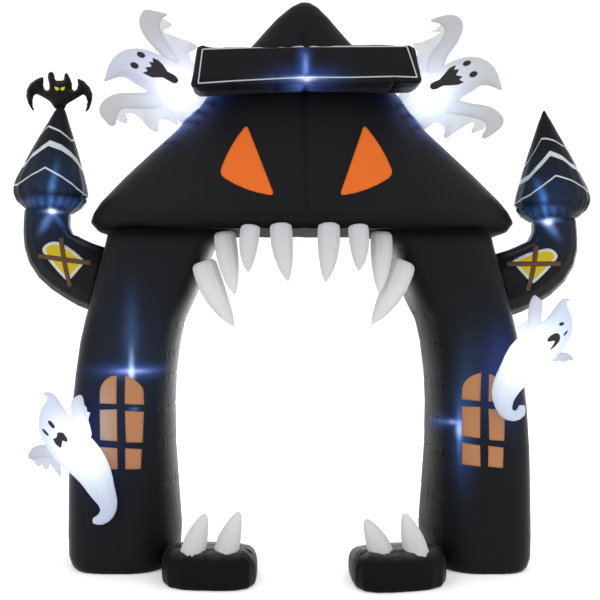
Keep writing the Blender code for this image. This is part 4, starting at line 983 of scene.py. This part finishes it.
for name, ghost in GHOSTS.items():
    cloth = white_cloth(f"ghost cloth {name}", ghost.colours, ghost.lamp, ghost.reach, ghost.lean, ghost.ink)
    pulls = GHOST_PULLS.get(name, ())
    ghost_skin, points = add_skin("ghost_" + name, 0.0055, 12, [], cloth, pulls)
    flat = seen(points)
    outlines = (*map(ellipse, ghost.eyes), ghost.mouth)
    face = np.min([edge_distance(flat, outline) for outline in outlines], axis=0)
    middle = np.median(points[:, 1])
    note(ghost_skin, "print", np.where(points[:, 1] < middle, face, 1.0))


# ---------- Arms ----------
# Two slack sleeves of thin white cloth on each ghost, fuller by the shoulder where the air
# holds them up. A single jagged cloth is sewn into each sleeve's seam and hangs from it.
# Both are outlines of x and z in the front view.
SLEEVES = {
    "arm_top_left_high": (
        (-0.641, 2.629), (-0.672, 2.638), (-0.715, 2.647), (-0.747, 2.653), (-0.762, 2.647), (-0.777, 2.625),
        (-0.783, 2.597), (-0.779, 2.568), (-0.766, 2.537), (-0.740, 2.500), (-0.701, 2.457), (-0.662, 2.418),
        (-0.624, 2.389), (-0.585, 2.399), (-0.609, 2.438), (-0.636, 2.476), (-0.660, 2.515), (-0.677, 2.549),
        (-0.683, 2.578), (-0.679, 2.600), (-0.665, 2.614),
    ),
    "arm_top_left_low": (
        (-0.682, 2.264), (-0.740, 2.254), (-0.798, 2.249), (-0.865, 2.250), (-0.909, 2.241), (-0.947, 2.220),
        (-0.971, 2.191), (-0.976, 2.162), (-0.967, 2.136), (-0.943, 2.111), (-0.925, 2.090), (-0.897, 2.092),
        (-0.893, 2.124), (-0.885, 2.153), (-0.868, 2.172), (-0.836, 2.177), (-0.778, 2.171), (-0.720, 2.172),
        (-0.662, 2.182), (-0.604, 2.196), (-0.595, 2.235), (-0.633, 2.264),
    ),
    "arm_top_right_high": (
        (0.625, 2.600), (0.628, 2.595), (0.653, 2.590), (0.672, 2.584), (0.689, 2.569), (0.695, 2.551),
        (0.688, 2.524), (0.669, 2.492), (0.638, 2.455), (0.614, 2.412), (0.602, 2.370), (0.623, 2.326),
        (0.681, 2.341), (0.693, 2.389), (0.706, 2.423), (0.730, 2.457), (0.757, 2.493), (0.775, 2.532),
        (0.783, 2.563), (0.781, 2.590), (0.768, 2.612), (0.744, 2.625), (0.712, 2.627), (0.681, 2.621),
        (0.650, 2.612),
    ),
    "arm_top_right_low": (
        (0.676, 2.211), (0.723, 2.227), (0.768, 2.213), (0.831, 2.196), (0.874, 2.193), (0.921, 2.180),
        (0.953, 2.159), (0.975, 2.135), (0.980, 2.110), (0.969, 2.086), (0.937, 2.058), (0.905, 2.037),
        (0.885, 2.027), (0.874, 2.034), (0.877, 2.051), (0.892, 2.070), (0.897, 2.092), (0.890, 2.107),
        (0.860, 2.123), (0.802, 2.137), (0.736, 2.146), (0.671, 2.153), (0.633, 2.172), (0.642, 2.206),
    ),
    "arm_side_left_high": (
        (-1.048, 0.710), (-1.051, 0.755), (-1.051, 0.785), (-1.044, 0.803), (-1.029, 0.816), (-1.012, 0.824),
        (-1.001, 0.819), (-0.995, 0.804), (-0.992, 0.780), (-0.985, 0.755), (-0.976, 0.719), (-0.964, 0.678),
        (-0.955, 0.629), (-1.009, 0.620), (-1.045, 0.665),
    ),
    "arm_side_left_low": (
        (-1.135, 0.597), (-1.167, 0.600), (-1.198, 0.598), (-1.222, 0.588), (-1.238, 0.571), (-1.246, 0.550),
        (-1.242, 0.535), (-1.227, 0.530), (-1.202, 0.539), (-1.171, 0.544), (-1.135, 0.539), (-1.099, 0.526),
        (-1.063, 0.526), (-1.054, 0.575), (-1.090, 0.602),
    ),
    "arm_side_right_high": (
        (1.006, 1.114), (1.005, 1.168), (1.010, 1.211), (1.017, 1.244), (1.027, 1.263), (1.037, 1.272),
        (1.046, 1.267), (1.060, 1.256), (1.071, 1.241), (1.073, 1.220), (1.069, 1.186), (1.065, 1.154),
        (1.065, 1.114), (1.063, 1.060), (1.018, 1.041), (1.000, 1.078),
    ),
    "arm_side_right_low": (
        (1.054, 1.028), (1.090, 1.012), (1.117, 1.008), (1.139, 1.011), (1.162, 1.014), (1.185, 1.010),
        (1.200, 1.001), (1.212, 0.986), (1.213, 0.978), (1.204, 0.974), (1.191, 0.981), (1.166, 0.980),
        (1.135, 0.977), (1.103, 0.974), (1.072, 0.974), (1.045, 0.996),
    ),
}
JAGGED_CLOTHS = {
    "arm_top_left_high": (
        (-0.682, 2.604), (-0.664, 2.606), (-0.643, 2.594), (-0.624, 2.583), (-0.630, 2.573), (-0.655, 2.560),
        (-0.663, 2.551), (-0.657, 2.539), (-0.628, 2.529), (-0.585, 2.515), (-0.537, 2.497), (-0.501, 2.477),
        (-0.510, 2.464), (-0.537, 2.453), (-0.545, 2.442), (-0.537, 2.418), (-0.522, 2.397), (-0.503, 2.370),
        (-0.537, 2.360), (-0.595, 2.380), (-0.653, 2.457), (-0.691, 2.525), (-0.701, 2.573),
    ),
    "arm_top_left_low": (
        (-0.896, 2.126), (-0.880, 2.113), (-0.856, 2.103), (-0.841, 2.106), (-0.841, 2.124), (-0.849, 2.151),
        (-0.827, 2.155), (-0.798, 2.144), (-0.769, 2.119), (-0.744, 2.090), (-0.725, 2.073), (-0.700, 2.062),
        (-0.689, 2.071), (-0.690, 2.095), (-0.687, 2.116), (-0.672, 2.123), (-0.643, 2.120), (-0.619, 2.107),
        (-0.600, 2.097), (-0.595, 2.104), (-0.607, 2.143), (-0.624, 2.196), (-0.682, 2.201), (-0.778, 2.191),
        (-0.856, 2.191), (-0.889, 2.162),
    ),
    "arm_top_right_high": (
        (0.676, 2.583), (0.666, 2.568), (0.652, 2.556), (0.621, 2.548), (0.657, 2.547), (0.674, 2.543),
        (0.659, 2.531), (0.627, 2.512), (0.584, 2.498), (0.544, 2.491), (0.539, 2.481), (0.557, 2.459),
        (0.564, 2.438), (0.555, 2.413), (0.562, 2.380), (0.579, 2.341), (0.608, 2.348), (0.637, 2.387),
        (0.677, 2.451), (0.717, 2.500), (0.731, 2.568), (0.700, 2.589),
    ),
    "arm_top_right_low": (
        (0.700, 2.160), (0.657, 2.160), (0.623, 2.150), (0.597, 2.126), (0.604, 2.111), (0.637, 2.108),
        (0.671, 2.102), (0.693, 2.090), (0.700, 2.070), (0.693, 2.049), (0.696, 2.032), (0.708, 2.034),
        (0.734, 2.053), (0.768, 2.077), (0.802, 2.097), (0.836, 2.111), (0.837, 2.096), (0.825, 2.070),
        (0.828, 2.055), (0.850, 2.064), (0.879, 2.074), (0.894, 2.089), (0.884, 2.119), (0.816, 2.145),
        (0.758, 2.157),
    ),
    "arm_side_left_high": (
        (-1.005, 0.809), (-0.989, 0.775), (-0.980, 0.764), (-0.980, 0.749), (-0.965, 0.742), (-0.970, 0.726),
        (-0.973, 0.710), (-0.962, 0.665), (-0.991, 0.665), (-1.014, 0.737),
    ),
    "arm_side_left_low": (
        (-1.234, 0.544), (-1.226, 0.531), (-1.212, 0.512), (-1.200, 0.499), (-1.190, 0.502), (-1.183, 0.510),
        (-1.177, 0.494), (-1.164, 0.484), (-1.151, 0.492), (-1.147, 0.510), (-1.140, 0.508), (-1.127, 0.487),
        (-1.113, 0.463), (-1.101, 0.447), (-1.095, 0.459), (-1.099, 0.491), (-1.099, 0.515), (-1.088, 0.509),
        (-1.079, 0.500), (-1.073, 0.512), (-1.078, 0.535), (-1.117, 0.562), (-1.171, 0.571), (-1.220, 0.566),
    ),
    "arm_side_right_high": (
        (1.018, 1.177), (1.004, 1.159), (0.985, 1.143), (0.960, 1.131), (0.958, 1.123), (0.963, 1.100),
        (1.000, 1.100), (1.031, 1.123),
    ),
    "arm_side_right_low": (
        (1.103, 0.992), (1.106, 0.980), (1.129, 0.970), (1.142, 0.973), (1.156, 0.969), (1.178, 0.969),
        (1.192, 0.977), (1.180, 0.994), (1.135, 0.996),
    ),
}
GHOST_Y = {"top": MIDDLE_Y - 0.05, "side_left": MIDDLE_Y - 0.362, "side_right": MIDDLE_Y - 0.345}
GIRTH = 0.045  # this far in from its seam a sleeve is at its fullest
JAG_THICKNESS = 0.0012
FAR_GREY = {"sleeve": "b6b6b8", "jagged": "d4d4d3"}


def eased(outline):
    """A closed outline with each corner cut to two."""
    outline = np.array(outline)
    after = np.roll(outline, -1, axis=0)
    return np.stack([0.75 * outline + 0.25 * after, 0.25 * outline + 0.75 * after], axis=1).reshape(-1, 2)


def add_sleeve(node, y, lamp, material):
    """Two cloths sewn together round the sleeve's outline and filled with air."""
    outline = eased(eased(SLEEVES[node]))
    flat, faces = filled(outline, 0.006)
    gap = np.clip(-edge_distance(flat, outline), 0, GIRTH)
    _, place = along_line(flat, np.vstack([outline, outline[:1]]))
    away = np.linalg.norm(flat - np.array(lamp)[[0, 2]], axis=1)
    air = 0.009 + 0.012 * np.clip((0.30 - away) / 0.06, 0, 1)
    swell = air * np.sqrt(gap * (2 * GIRTH - gap)) / GIRTH
    swell *= 1 + 0.10 * ripple(place, 0.03, len(node)) * np.exp(-gap / 0.02)
    count = len(flat)
    sides = [np.stack([flat[:, 0], y + way * (0.001 + swell), flat[:, 1]], axis=1) for way in (-1, 1)]
    points = np.vstack(sides)
    edges = {(a, b) for face in faces for a, b in zip(face, face[1:] + face[:1])}
    rim = [(b, a, a + count, b + count) for a, b in edges if (b, a) not in edges]
    both = [*faces, *(tuple(corner + count for corner in reversed(face)) for face in faces), *rim]
    sleeve = add_piece(node + "_sleeve", points, both, [node], material)
    mesh = bmesh.new()
    mesh.from_mesh(sleeve.data)
    bmesh.ops.recalc_face_normals(mesh, faces=mesh.faces)
    mesh.to_mesh(sleeve.data)
    mesh.free()
    return sleeve


def add_jags(node, y, material, sleeve):
    """The jagged cloth, tucked a little into the sleeve's seam and waving away from it."""
    flat, faces = filled(JAGGED_CLOTHS[node], 0.007)
    outline = eased(eased(SLEEVES[node]))
    clear = edge_distance(flat, outline)
    _, place = along_line(flat, np.vstack([outline, outline[:1]]))
    faces = [face for face in faces if max(clear[list(face)]) > -0.010]
    used = sorted({corner for face in faces for corner in face})
    renumbered = {old: new for new, old in enumerate(used)}
    faces = [tuple(renumbered[corner] for corner in face) for face in faces]
    flat, place, clear = flat[used], place[used], clear[used]
    wave = np.clip(clear / 0.08, 0, 1) * (0.010 * np.sin(place * 70) + 0.004)
    points = np.stack([flat[:, 0], y + wave, flat[:, 1]], axis=1)
    cloth = add_piece(node + "_cloth", points, faces, [node], material)
    give_wall(cloth, JAG_THICKNESS)
    declare_sheet(points, faces)


for node in SLEEVES:
    body = node.split("_", 1)[1].rsplit("_", 1)[0]
    ghost = GHOSTS[body]
    high_up = body.startswith("top")
    lit = ghost.colours[1:] if high_up else ("ccd4ea", "eff4ff")
    y = GHOST_Y["top" if high_up else body]
    slack, thin = (
        white_cloth(f"{kind} cloth {node}", (far, *lit), ghost.lamp, ghost.reach, ghost.lean)
        for kind, far in FAR_GREY.items()
    )
    add_jags(node, y, thin, add_sleeve(node, y, ghost.lamp, slack))
